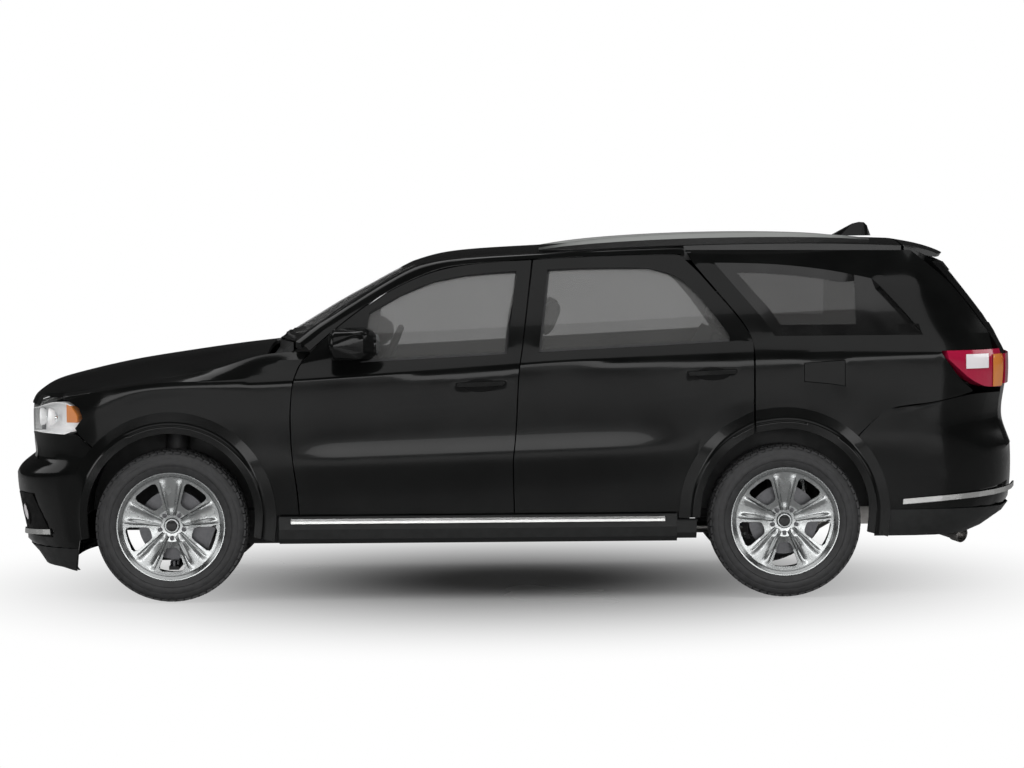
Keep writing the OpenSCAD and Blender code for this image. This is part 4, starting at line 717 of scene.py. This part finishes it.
class VEHICLE_OT_lamps(bpy.types.Operator):
    """Builds the headlamps and tail lamps with lens, bucket and reflectors"""

    bl_idname = "vehicle.lamps"
    bl_label = "Lamps"

    LENS_WALL, BUCKET_WALL = 0.003, 0.002
    # The bowls' middles, across and high, and their outline of (along, radius)
    BOWLS = ((0.655, 0.915), (0.745, 0.915))
    BOWL = ((0.0, 0.012), (0.004, 0.03), (0.018, 0.042), (0.034, 0.046), (0.034, 0.042), (0.008, 0.026),
            (0.004, 0.012))
    BOWL_INSET, BEAM_INSET, BEAM = 0.05, 0.045, 0.026
    # The nose in plan: where its round starts, how far it reaches, its half width and its power
    NOSE_START, NOSE_REACH, NOSE_HALF, NOSE_POWER = -1.80, 0.673, 0.93, 3
    # Patches of a lamp: lowest corner, highest corner, rise and wall
    REFLECTOR = ((-2.213, None, 0.895), (None, None, 0.99), -0.004, -0.003)
    INSERT = ((2.25, None, 1.125), (2.37, None, 1.195), 0.0015, -0.003)
    REAR_EDGE = ((2.398, None, 1.03), (None, None, 1.19), 0.0015, -0.003)
    POCKET_LOW, POCKET_HIGH, POCKET_INNER = 0.315, 0.53, 0.46
    POCKET_EDGE, POCKET_SLANT = (-2.409, 0.0, 0.531), (0.15, 0.0, 0.074)
    POCKET_RISE, POCKET_SKIN = 0.0012, -0.002
    FOG_ACROSS, FOG_HEIGHT = 0.56, 0.43
    FOG_BEZEL = ((-0.006, 0.0), (-0.006, 0.046), (0.004, 0.05), (0.006, 0.062), (0.002, 0.072),
                 (-0.012, 0.074))
    FOG_LENS = ((-0.004, 0.044), (0.002, 0.042), (0.007, 0.028), (0.009, 0.0))
    BRAKE, BRAKE_RIM = (0.008, 0.26, 0.012), 0.003
    BRAKE_BEHIND, BRAKE_DOWN, BRAKE_PROUD = 0.5, 0.088, 0.001
    BOWL_STEPS, FOG_STEPS, BEAM_AROUND, BEAM_RINGS = 32, 40, 24, 16

    def execute(self, context):
        self.headlamps()
        self.tail_lamps()
        self.pockets()
        self.fog_lamps()
        self.brake_lamp()
        return {"FINISHED"}

    def headlamps(self):
        """Clear lenses over bright buckets with two bowls each, and amber side reflectors"""
        bm = node_copy("headlamps")
        keep_faces(bm, outward)
        bmesh.ops.solidify(bm, geom=bm.faces, thickness=self.LENS_WALL)
        lens = put_piece("headlamp_lenses", bm, "clear_lens", "body")
        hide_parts("headlamps")
        bm = node_copy("headlamps")
        keep_faces(bm, lambda f: not outward(f))
        bmesh.ops.reverse_faces(bm, faces=bm.faces)
        bmesh.ops.solidify(bm, geom=bm.faces, thickness=self.BUCKET_WALL)
        put_piece("headlamp_buckets", bm, "chrome", "body")
        bowls, beams = bmesh.new(), bmesh.new()
        for side in SIDES.values():
            for across, height in self.BOWLS:
                spot = Vector((self.nose(across), side * across, height))
                back = spot + Vector((self.BOWL_INSET, 0, 0))
                spin_profile(bowls, self.BOWL, back, FORWARDS, self.BOWL_STEPS)
                back = Matrix.Translation(spot + Vector((self.BEAM_INSET, 0, 0)))
                bmesh.ops.create_uvsphere(beams, u_segments=self.BEAM_AROUND, v_segments=self.BEAM_RINGS,
                                          radius=self.BEAM, matrix=back)
        put_piece("headlamp_bowls", bowls, "chrome", "body")
        put_piece("headlamp_beams", beams, "mirror", "body")
        put_patch("headlamp_reflectors", "amber_lens", "clear_lens", "headlamps", *self.REFLECTOR)

    def nose(self, across):
        """Where the nose's round front is, at a distance from the middle"""
        share = (1 - (across / self.NOSE_HALF) ** self.NOSE_POWER) ** (1 / self.NOSE_POWER)
        return self.NOSE_START - self.NOSE_REACH * share

    def tail_lamps(self):
        """Red lenses with white inserts and amber rear edges"""
        for node in ("tail_lamps", "tailgate_lamp"):
            smooth_panel(node, "red_lens", levels=1)
        put_patch("tail_lamp_inserts", "white_lens", "clear_lens", "tail_lamps", *self.INSERT)
        put_patch("tail_lamp_edges", "amber_lens", "red_lens", "tail_lamps", *self.REAR_EDGE)

    def pockets(self):
        """Dark pockets with a slanted rear edge on the bumper's corners"""
        bm = node_copy("front_bumper")
        keep_faces(bm, outward)
        cut_to_box(bm, (None, None, self.POCKET_LOW), (None, None, self.POCKET_HIGH))
        cut(bm, self.POCKET_EDGE, self.POCKET_SLANT)
        for side in SIDES.values():
            cut(bm, (0, side * self.POCKET_INNER, 0), (0, 1, 0), clear=False)
        keep_faces(bm, lambda f: abs(f.calc_center_median().y) > self.POCKET_INNER)
        thicken(bm, self.POCKET_RISE, self.POCKET_SKIN)
        put_piece("fog_pockets", bm, "dark_trim_and_shade", "body")

    def fog_lamps(self):
        """Round lamps in dark bezels on the bumper's corners"""
        tree = surface_of("front_bumper")
        bezels, lenses = bmesh.new(), bmesh.new()
        for side in SIDES.values():
            spot, normal = spot_on(tree, (AHEAD, side * self.FOG_ACROSS, self.FOG_HEIGHT), REARWARDS)
            spin_profile(bezels, self.FOG_BEZEL, spot, normal, self.FOG_STEPS)
            spin_profile(lenses, self.FOG_LENS, spot, normal, self.FOG_STEPS)
        put_piece("fog_bezels", bezels, "dark_trim_and_shade", "body")
        put_piece("fog_lenses", lenses, "white_lens", "body")

    def brake_lamp(self):
        """A slim lamp under the spoiler's rear edge"""
        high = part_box("spoiler")[1]
        start = (high.x + self.BRAKE_BEHIND, 0, high.z - self.BRAKE_DOWN)
        spot = spot_on(surface_of("spoiler"), start, FORWARDS)[0]
        place = Matrix.Translation(spot + Vector((self.BRAKE_PROUD, 0, 0)))
        put_block("high_brake_lamp", "red_lens", BODY_OF["spoiler"], "red_lens", place, self.BRAKE,
                  self.BRAKE_RIM)


class VEHICLE_OT_grilles(bpy.types.Operator):
    """Finishes the grille bars and sets dark mesh behind them"""

    bl_idname = "vehicle.grilles"
    bl_label = "Grilles"

    PITCH, WIRE, SET_BACK = 0.024, 0.004, 0.04
    # Half width, lowest edge and highest edge
    UPPER, LOWER = (0.53, 0.705, 0.955), (0.36, 0.295, 0.52)
    SPANS, ABOVE_EDGE = 8, 0.008

    def execute(self, context):
        give("bright", "grille")
        tree = surface_of("grille")
        self.mesh("grille_mesh", tree, *self.UPPER)
        self.mesh("intake_mesh", tree, *self.LOWER)
        return {"FINISHED"}

    def mesh(self, name, tree, half, low, high):
        """A wire mesh that follows the bars from behind, with a dark sheet of painted shade behind it"""
        wide, tall = half * 2, high - low
        columns, rows = int(wide / self.PITCH), int(tall / self.PITCH)
        bm = bmesh.new()
        bmesh.ops.create_grid(bm, x_segments=columns, y_segments=rows, size=0.5)
        depth = []
        for k in range(-self.SPANS, self.SPANS + 1):
            start = (AHEAD, half * k / self.SPANS, low + self.ABOVE_EDGE)
            depth.append(spot_on(tree, start, REARWARDS)[0].x)
        for vert in bm.verts:
            y = vert.co.x * wide
            share = (y / half + 1) * self.SPANS
            k = min(int(share), 2 * self.SPANS - 1)
            x = depth[k] + (depth[k + 1] - depth[k]) * (share - k)
            vert.co = (x + self.SET_BACK, y, low + (vert.co.y + 0.5) * tall)
        sheet = bm.copy()
        bmesh.ops.translate(sheet, verts=sheet.verts, vec=(self.SET_BACK, 0, 0))
        bmesh.ops.wireframe(bm, faces=bm.faces, thickness=self.WIRE, use_boundary=True,
                            use_even_offset=True, use_replace=True)
        put_piece(name, bm, "gloss_black", "body")
        # The sheet behind the mesh is painted shade, in the tyres' rubber finish
        put_piece(name + "_shade", sheet, "rubber", "body")


class VEHICLE_OT_cabin(bpy.types.Operator):
    """Finishes the dashboard and adds its instruments, screen and vents"""

    bl_idname = "vehicle.cabin"
    bl_label = "Cabin"

    # Places are back from the dashboard's front, across and high
    HOOD, HOOD_SIZE, HOOD_RIM, HOOD_SEGMENTS = (0.27, -0.385, 1.2), (0.16, 0.34, 0.05), 0.02, 4
    SCREEN, SCREEN_SIZE, SCREEN_RIM = (0.425, 0, 1.03), (0.012, 0.22, 0.13), 0.004
    VENTS, VENT_BACK, VENT_HEIGHT = (-0.62, -0.16, 0.16, 0.62), 0.421, 1.0
    SLATS, SLAT_PITCH, SLAT_SIZE = 4, 0.016, (0.012, 0.09, 0.006)
    TILT = math.radians(-20)

    def execute(self, context):
        give("cabin", "dashboard")
        give("seat", "steering_wheel")
        front = Matrix.Translation((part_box("dashboard")[0].x, 0, 0))
        tilt = Matrix.Rotation(self.TILT, 4, "Y")
        put_block("instrument_hood", "cabin", "body", "trim", front @ Matrix.Translation(self.HOOD),
                  self.HOOD_SIZE, self.HOOD_RIM, self.HOOD_SEGMENTS)
        put_block("centre_screen", "gloss_black", "body", "trim",
                  front @ Matrix.Translation(self.SCREEN) @ tilt, self.SCREEN_SIZE, self.SCREEN_RIM)
        vents = bmesh.new()
        for y in self.VENTS:
            for k in range(self.SLATS):
                slat = Matrix.Translation((self.VENT_BACK, y, self.VENT_HEIGHT + self.SLAT_PITCH * k))
                add_block(vents, front @ slat @ tilt, self.SLAT_SIZE)
        put_piece("air_vents", vents, "satin", "body")
        return {"FINISHED"}


class VEHICLE_OT_seats(bpy.types.Operator):
    """Pads the seats: crowned cushions, backs and headrests with sewn channels"""

    bl_idname = "vehicle.seats"
    bl_label = "Seats"

    # Each seat has a place, a width and a number of headrests
    FRONT_X, FRONT_Z, FRONT_WIDTH = -0.30, 0.80, 0.52
    SECOND_ROW = ((0.597, 0, 0.83), 1.24, 2)
    THIRD_ROW = ((1.637, 0, 0.91), 1.0, 2)
    # Pads from the seat's place, with their length, the width they leave free and their height
    CUSHION, CUSHION_SIZE, CUSHION_LEAN = Vector((-0.02, 0, -0.09)), (0.53, 0.02, 0.11), math.radians(4)
    BACK, BACK_SIZE, BACK_LEAN, BACK_UP = Vector((0.205, 0, -0.06)), (0.1, 0.06, 0.62), math.radians(24), 0.28
    HEAD_SIZE, HEAD_UP, HEAD_SPREAD = (0.09, 0.23, 0.17), 0.70, 0.5
    BASE, BASE_SIZE, BASE_RIM = Vector((-0.01, 0, -0.24)), (0.42, 0.12, 0.2), 0.02
    # How a pad falls off to its edges and over its face, pulls in, and dips at its channels
    EDGE_FALL, EDGE_POWER, FACE_FALL, PULL = 0.42, 6, 0.2, 0.03
    CHANNEL_REACH, CHANNEL_DIP, CHANNEL_WIDTH = 0.7, 0.12, 0.05
    CUTS, PAD_SHARP = 9, math.radians(80)

    def execute(self, context):
        low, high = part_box("front_seats")
        across = (high.y - low.y - self.FRONT_WIDTH) / 2
        pads = []
        for name, side in SIDES.items():
            place = (self.FRONT_X, side * across, self.FRONT_Z)
            pads += self.seat("front_seat_" + name, place, self.FRONT_WIDTH, 1)
        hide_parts("front_seats")
        rows = self.seat("second_row", *self.SECOND_ROW) + self.seat("third_row", *self.THIRD_ROW)
        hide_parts("rear_seats")
        return {"FINISHED"}

    def seat(self, name, spot, width, heads):
        """A seat of cushion, back and headrests on a plain base"""
        spot = Vector(spot)
        cushion = Matrix.Translation(spot + self.CUSHION) @ Matrix.Rotation(self.CUSHION_LEAN, 4, "Y")
        back = Matrix.Translation(spot + self.BACK) @ Matrix.Rotation(self.BACK_LEAN, 4, "Y")
        upper = back @ Matrix.Translation((0, 0, self.BACK_UP))
        made = [self.pad(name + "_cushion", cushion, self.fitted(self.CUSHION_SIZE, width), heads * 2),
                self.pad(name + "_back", upper, self.fitted(self.BACK_SIZE, width), heads * 2)]
        for k in range(heads):
            y = (k - (heads - 1) / 2) * width * self.HEAD_SPREAD
            head = back @ Matrix.Translation((0, y, self.HEAD_UP))
            made.append(self.pad(f"{name}_head_{k}", head, self.HEAD_SIZE, 0))
        put_block(name + "_base", "cabin", "body", "trim", Matrix.Translation(spot + self.BASE),
                  self.fitted(self.BASE_SIZE, width), self.BASE_RIM)
        return made

    @staticmethod
    def fitted(size, width):
        """A pad's size in a seat of some width"""
        long, free, tall = size
        return (long, width - free, tall)

    def pad(self, name, place, size, channels):
        """A crowned pad that pulls in between its corners, with channels sewn into its face"""
        bm = bmesh.new()
        bmesh.ops.create_cube(bm, size=2.0)
        bmesh.ops.subdivide_edges(bm, edges=bm.edges, cuts=self.CUTS, use_grid_fill=True)
        thin = min(range(3), key=lambda k: size[k])
        wide = [k for k in range(3) if k != thin]
        lines = [(2 * (c + 0.5) / channels - 1) * self.CHANNEL_REACH for c in range(channels)]
        for vert in bm.verts:
            a, b = (vert.co[k] for k in wide)
            edge = 1 - self.EDGE_FALL * max(abs(a), abs(b)) ** self.EDGE_POWER
            face = 1 - self.FACE_FALL * (a * a + b * b) / 2
            dip = sum(math.exp(-((vert.co.y - line) / self.CHANNEL_WIDTH) ** 2) for line in lines)
            vert.co[thin] *= edge * face * (1 - self.CHANNEL_DIP * dip)
            for k in wide:
                vert.co[k] *= 1 - self.PULL * (1 - min(abs(a * b), 1))
        half = Matrix.Diagonal((size[0] / 2, size[1] / 2, size[2] / 2, 1))
        bmesh.ops.transform(bm, matrix=place @ half, verts=bm.verts)
        piece = put_piece(name, bm, "seat", "body", self.PAD_SHARP)
        subdivide(piece, 1)
        return piece


class VEHICLE_OT_trim(bpy.types.Operator):
    """Adds the mirror faces, dark handle cups of painted shade, wipers, lower cladding, roof seals and a
    blank plate
    """

    bl_idname = "vehicle.trim"
    bl_label = "Trim"

    MIRROR_DEEP, MIRROR_RISE, MIRROR_SKIN, MIRROR_FACING = 0.02, 0.0015, -0.003, 0.8
    # The handles' doors and places, and the dark dish of painted shade behind each
    HANDLES = (("front_door_", -0.155, 1.068), ("rear_door_", 0.990, 1.115))
    CUP, CUP_UNDER, CUP_UP = (0.095, 0.003, 0.037), 0.03, 0.002
    # The blades' ends across and high, and the arms from their pivots
    BLADES = (((-0.66, 1.302), (0.02, 1.312)), ((-0.02, 1.302), (0.62, 1.312)))
    BLADE_TALL, BLADE_STEPS, BEFORE_SCREEN = 0.009, 12, -2.0
    ARM, ARM_PIVOT, ARM_END = 0.006, (-0.05, 0.26, -0.035), Vector((-0.008, 0, 0.004))
    REAR_BLADE, REAR_TALL, REAR_STEPS = ((0.02, 1.33), (0.40, 1.34)), 0.012, 8
    REAR_PIVOT, REAR_WAY = ((-0.002, 0.0), (-0.002, 0.024), (0.014, 0.022), (0.018, 0.0)), (0.9, 0, 0.4)
    STRIP_FOOT, STRIP_TOP = 0.006, 0.004
    # The bumpers with the top of their cladding
    CLAD = (("front_bumper", 0.262), ("rear_bumper", 0.43))
    CLAD_RISE, CLAD_SKIN, CLAD_ENDWARD = 0.0012, -0.0024, 0.05
    PLATE, PLATE_HEIGHT, PLATE_PROUD, PLATE_RIM = (0.006, 0.31, 0.155), 0.9, 0.004, 0.0025
    # The seals' places and sizes
    SEALS = (((0.63, 0.697, 1.692), (0.54, 0.009, 0.042)), ((-0.925, 0.801, 1.297), (0.09, 0.01, 0.07)))
    SEAL_RIM = 0.003
    ARM_SIDES, PIVOT_STEPS, CUP_AROUND, CUP_RINGS = 12, 24, 48, 16

    def execute(self, context):
        for name, side in SIDES.items():
            self.mirror_face("mirror_" + name)
            for door, x, z in self.HANDLES:
                self.cup(door + name, x, z, side)
        self.wipers()
        self.rear_wiper()
        self.cladding()
        self.plate()
        self.roof_seals()
        return {"FINISHED"}

    def mirror_face(self, node):
        """The mirror's glass on the rear face of its housing"""
        low = (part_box(node)[1].x - self.MIRROR_DEEP, None, None)
        put_patch(node + "_glass", "mirror", "bright", node, low, ANYWHERE, self.MIRROR_RISE,
                  self.MIRROR_SKIN, lambda f: f.normal.x > self.MIRROR_FACING)

    def cup(self, node, x, z, side):
        """A dark oval dish behind a door handle, painted shade where the handle's recess lies"""
        spot = spot_on(surface_of(node), (x, side * BESIDE, z - self.CUP_UNDER), (0, -side, 0))[0]
        place = Matrix.Translation((x, spot.y, z + self.CUP_UP)) @ Matrix.Diagonal((*self.CUP, 1))
        bm = bmesh.new()
        bmesh.ops.create_uvsphere(bm, u_segments=self.CUP_AROUND, v_segments=self.CUP_RINGS, radius=1.0,
                                  matrix=place)
        # The dish's dark finish is painted shade of the recess behind the handle
        put_piece(node + "_handle_dish_shade", bm, "dark_trim_and_shade", BODY_OF[node])

    @staticmethod
    def line_on(tree, far, way, ends, steps):
        """Points on a pane between two ends"""
        spots = []
        for k in range(steps + 1):
            y, z = (a + (b - a) * k / steps for a, b in zip(*ends))
            spots.append(spot_on(tree, (far, y, z), way)[0])
        return spots

    def wipers(self):
        """Two blades on the windscreen, each with its arm"""
        tree = surface_of("windscreen")
        blades, arms = bmesh.new(), bmesh.new()
        back, out, down = self.ARM_PIVOT
        for ends in self.BLADES:
            line = self.line_on(tree, self.BEFORE_SCREEN, REARWARDS, ends, self.BLADE_STEPS)
            self.strip(blades, line, -self.BLADE_TALL)
            start, end = ends
            middle = line[self.BLADE_STEPS // 2]
            pivot = Vector((middle.x + back, (start[0] + end[0]) / 2 + out, start[1] + down))
            add_tube(arms, pivot, middle + self.ARM_END, self.ARM, self.ARM_SIDES)
        put_piece("wiper_blades", blades, "rubber", "body")
        put_piece("wiper_arms", arms, "cladding", "body")

    def rear_wiper(self):
        """A blade on the tailgate's window with a round pivot"""
        tree = surface_of("tailgate_window")
        line = self.line_on(tree, BEHIND, FORWARDS, self.REAR_BLADE, self.REAR_STEPS)
        bm = bmesh.new()
        self.strip(bm, line, self.REAR_TALL)
        spin_profile(bm, self.REAR_PIVOT, line[0], self.REAR_WAY, self.PIVOT_STEPS)
        put_piece("rear_wiper", bm, "cladding", BODY_OF["tailgate_window"])

    def strip(self, bm, line, out):
        """A thin bar that lies along points on a pane and stands out from it"""
        foot, top = self.STRIP_FOOT, self.STRIP_TOP
        ring = [Vector(corner) for corner in ((0, 0, -foot), (0, 0, foot), (out, 0, top), (out, 0, -top))]
        loop = [bm.verts.new(line[0] + corner) for corner in ring]
        front = [bm.edges.new((loop[k - 1], loop[k])) for k in (1, 2, 3, 0)]
        bmesh.ops.contextual_create(bm, geom=front)
        for before, spot in zip(line, line[1:]):
            made = bmesh.ops.extrude_edge_only(bm, edges=front)["geom"]
            verts = [g for g in made if isinstance(g, bmesh.types.BMVert)]
            edges = [g for g in made if isinstance(g, bmesh.types.BMEdge)]
            front = [e for e in edges if all(v in verts for v in e.verts)]
            bmesh.ops.translate(bm, verts=verts, vec=spot - before)
        bmesh.ops.contextual_create(bm, geom=front)
        bmesh.ops.recalc_face_normals(bm, faces=bm.faces)

    def cladding(self):
        """Grained plastic over the bumpers' lower edges"""
        for node, top in self.CLAD:
            put_patch(node + "_cladding", "cladding", "trim", node, ANYWHERE, (None, None, top),
                      self.CLAD_RISE, self.CLAD_SKIN, self.outer_low)

    def outer_low(self, face):
        end, side = facing(face)
        return end > self.CLAD_ENDWARD or side > SIDEWARD

    def plate(self):
        """A blank plate on the tailgate"""
        spot, normal = spot_on(surface_of("tailgate"), (BEHIND, 0, self.PLATE_HEIGHT), FORWARDS)
        turn = normal.to_track_quat("X", "Z").to_matrix().to_4x4()
        place = Matrix.Translation(spot + normal * self.PLATE_PROUD) @ turn
        put_block("blank_plate", "plate", BODY_OF["tailgate"], "trim", place, self.PLATE, self.PLATE_RIM)

    def roof_seals(self):
        """Rubber behind the tops of the rear doors and at the feet of the screen pillars"""
        bm = bmesh.new()
        for (x, y, z), size in self.SEALS:
            for side in SIDES.values():
                add_block(bm, Matrix.Translation((x, side * y, z)), size, self.SEAL_RIM)
        put_piece("roof_seals", bm, "rubber", "body")


class VEHICLE_OT_stage(bpy.types.Operator):
    """Sets the floor, the studio light and the camera"""

    bl_idname = "vehicle.stage"
    bl_label = "Stage"

    PITCH, ROLL = math.radians(2.98), math.radians(-0.5)
    SENSOR, SIGHT = 36.0, 200.0
    FLOOR_HALF, FLOOR_DROP, FLOOR_TILES, FLOOR_GREY = 60.0, 0.002, 8, (0.4, 0.4, 0.4)
    # The floor's fade to white: an oval's shape, and where in it the fade starts and ends
    FADE_SHAPE, FADE_START, FADE_END = (0.36, 0.36, 1.0), 0.1, 1.2
    # The backdrop's strength as light, and the share of it that gloss mirrors
    SOFT_LIGHT, MIRRORED = 0.6, 0.02
    # Each lamp's name, place, aim, width, depth and power
    LAMPS = (("overhead", (0, -5.5, 7.5), (0, -0.5, 0.8), 14.0, 6.0, 380),
             ("far_overhead", (0, 5.5, 7.5), (0, 0.5, 0.8), 14.0, 4.0, 160),
             ("front_fill", (-13.0, 0, 5.0), (-2.0, 0, 0.9), 9.0, 4.0, 260),
             ("rear_fill", (13.0, 0, 5.0), (2.0, 0, 0.9), 9.0, 4.0, 260),
             ("near_wall", (0, -19.5, 2.3), (0, 0, 1.2), 28.0, 2.8, 1200))

    def execute(self, context):
        scene = context.scene
        scene.view_settings.view_transform = "Standard"
        self.floor(scene)
        self.world(scene)
        for lamp in self.LAMPS:
            self.lamp(scene, *lamp)
        self.camera(scene, scene.vehicle_sizes)
        return {"FINISHED"}

    def camera(self, scene, sizes):
        """A camera at the photograph's viewing angle"""
        camera = bpy.data.cameras.new("photo_camera")
        camera.sensor_width = self.SENSOR
        camera.lens = sizes.camera_lens
        camera.clip_end = self.SIGHT
        eye = bpy.data.objects.new("photo_camera", camera)
        scene.collection.objects.link(eye)
        turn = Matrix.Rotation(math.pi / 2 - self.PITCH, 4, "X") @ Matrix.Rotation(self.ROLL, 4, "Z")
        eye.matrix_world = Matrix.Translation((0, -sizes.camera_distance, sizes.camera_height)) @ turn
        scene.camera = eye

    @staticmethod
    def lamp(scene, name, spot, aim, wide, deep, power):
        """A soft rectangular lamp"""
        light = bpy.data.lights.new(name, "AREA")
        light.shape = "RECTANGLE"
        light.size = wide
        light.size_y = deep
        light.energy = power
        lamp = bpy.data.objects.new(name, light)
        scene.collection.objects.link(lamp)
        lamp.location = spot
        lamp.rotation_euler = (Vector(aim) - Vector(spot)).to_track_quat("-Z", "Y").to_euler()

    def floor(self, scene):
        """A pale floor that fades to the white backdrop away from the vehicle"""
        bm = bmesh.new()
        bmesh.ops.create_grid(bm, x_segments=self.FLOOR_TILES, y_segments=self.FLOOR_TILES,
                              size=self.FLOOR_HALF, matrix=Matrix.Translation((0, 0, -self.FLOOR_DROP)))
        mesh = bpy.data.meshes.new("studio_floor")
        bm.to_mesh(mesh)
        bm.free()
        mesh.materials.append(self.floor_finish())
        floor = bpy.data.objects.new("studio_floor", mesh)
        scene.collection.objects.link(floor)

    def floor_finish(self):
        mat = finish("pale_floor", self.FLOOR_GREY, 0.25, vary=0.01, grain=0.6, fine=40.0, bump=0.0)
        tree = mat.node_tree
        where = add_node(mat, "ShaderNodeTexCoord")
        oval = add_node(mat, "ShaderNodeMapping", Scale=self.FADE_SHAPE)
        far = add_node(mat, "ShaderNodeVectorMath")
        far.operation = "LENGTH"
        fade = add_node(mat, "ShaderNodeMapRange", From_Min=self.FADE_START, From_Max=self.FADE_END)
        fade.interpolation_type = "SMOOTHSTEP"
        join(mat, where.outputs["Object"], oval.inputs["Vector"])
        join(mat, oval.outputs["Vector"], far.inputs[0])
        join(mat, far.outputs["Value"], fade.inputs["Value"])
        share = self.combine(tree, "MULTIPLY", self.backdrop_share(tree), fade.outputs["Result"])
        white = add_node(mat, "ShaderNodeEmission", Strength=1.0)
        choice = add_node(mat, "ShaderNodeMixShader")
        join(mat, share, choice.inputs["Fac"])
        join(mat, tree.nodes["Principled BSDF"].outputs["BSDF"], choice.inputs[1])
        join(mat, white.outputs["Emission"], choice.inputs[2])
        join(mat, choice.outputs["Shader"], tree.nodes["Material Output"].inputs["Surface"])
        return mat

    @staticmethod
    def combine(tree, operation, first, second):
        """Works out one value from two values or sockets"""
        node = tree.nodes.new("ShaderNodeMath")
        node.operation = operation
        for socket, value in zip(node.inputs, (first, second)):
            if isinstance(value, float):
                socket.default_value = value
            else:
                tree.links.new(value, socket)
        return node.outputs[0]

    def world(self, scene):
        """White to the camera and through glass, softer in reflections and as light"""
        world = bpy.data.worlds.new("studio_white")
        world.use_nodes = True
        tree = world.node_tree
        scene.world = world
        backdrop = tree.nodes["Background"]
        backdrop.inputs["Color"].default_value = (1, 1, 1, 1)
        path = tree.nodes.new("ShaderNodeLightPath")
        diffuse = self.combine(tree, "MULTIPLY", path.outputs["Is Diffuse Ray"], self.SOFT_LIGHT)
        strength = self.combine(tree, "MAXIMUM", self.backdrop_share(tree), diffuse)
        tree.links.new(strength, backdrop.inputs["Strength"])

    def backdrop_share(self, tree):
        """How much of the white backdrop a ray sees: all of it straight or through glass, less in gloss"""
        ray = tree.nodes.new("ShaderNodeLightPath").outputs
        seen = self.combine(tree, "MAXIMUM", ray["Is Camera Ray"], ray["Is Transmission Ray"])
        mirrored = self.combine(tree, "MULTIPLY", ray["Is Glossy Ray"], self.MIRRORED)
        return self.combine(tree, "MAXIMUM", seen, mirrored)


OPERATORS = (VEHICLE_OT_panels, VEHICLE_OT_glazing, VEHICLE_OT_tyres, VEHICLE_OT_wheels,
             VEHICLE_OT_running_gear, VEHICLE_OT_lamps, VEHICLE_OT_grilles, VEHICLE_OT_cabin,
             VEHICLE_OT_seats, VEHICLE_OT_trim, VEHICLE_OT_stage)


class VEHICLE_PT_dressing(bpy.types.Panel):
    """Lists the steps that dress the vehicle"""

    bl_idname = "VEHICLE_PT_dressing"
    bl_label = "Vehicle"
    bl_space_type = "VIEW_3D"
    bl_region_type = "UI"
    bl_category = "Vehicle"

    def draw(self, context):
        for operator in OPERATORS:
            self.layout.operator(operator.bl_idname)
        for group in (context.scene.vehicle_sizes, context.scene.vehicle_colours):
            for key in group.__annotations__:
                self.layout.prop(group, key)


CLASSES = (VehicleSizes, VehicleColours) + OPERATORS + (VEHICLE_PT_dressing,)


def register():
    for cls in CLASSES:
        bpy.utils.register_class(cls)
    bpy.types.Scene.vehicle_sizes = bpy.props.PointerProperty(type=VehicleSizes)
    bpy.types.Scene.vehicle_colours = bpy.props.PointerProperty(type=VehicleColours)


def unregister():
    del bpy.types.Scene.vehicle_colours
    del bpy.types.Scene.vehicle_sizes
    for cls in reversed(CLASSES):
        bpy.utils.unregister_class(cls)


def main():
    register()
    for make in (make_paint_and_glass, make_metals, make_plastics, make_lamp_finishes):
        make(bpy.context.scene.vehicle_colours)
    for operator in OPERATORS:
        group, name = operator.bl_idname.split(".")
        getattr(getattr(bpy.ops, group), name)()


if __name__ == "__main__":
    main()
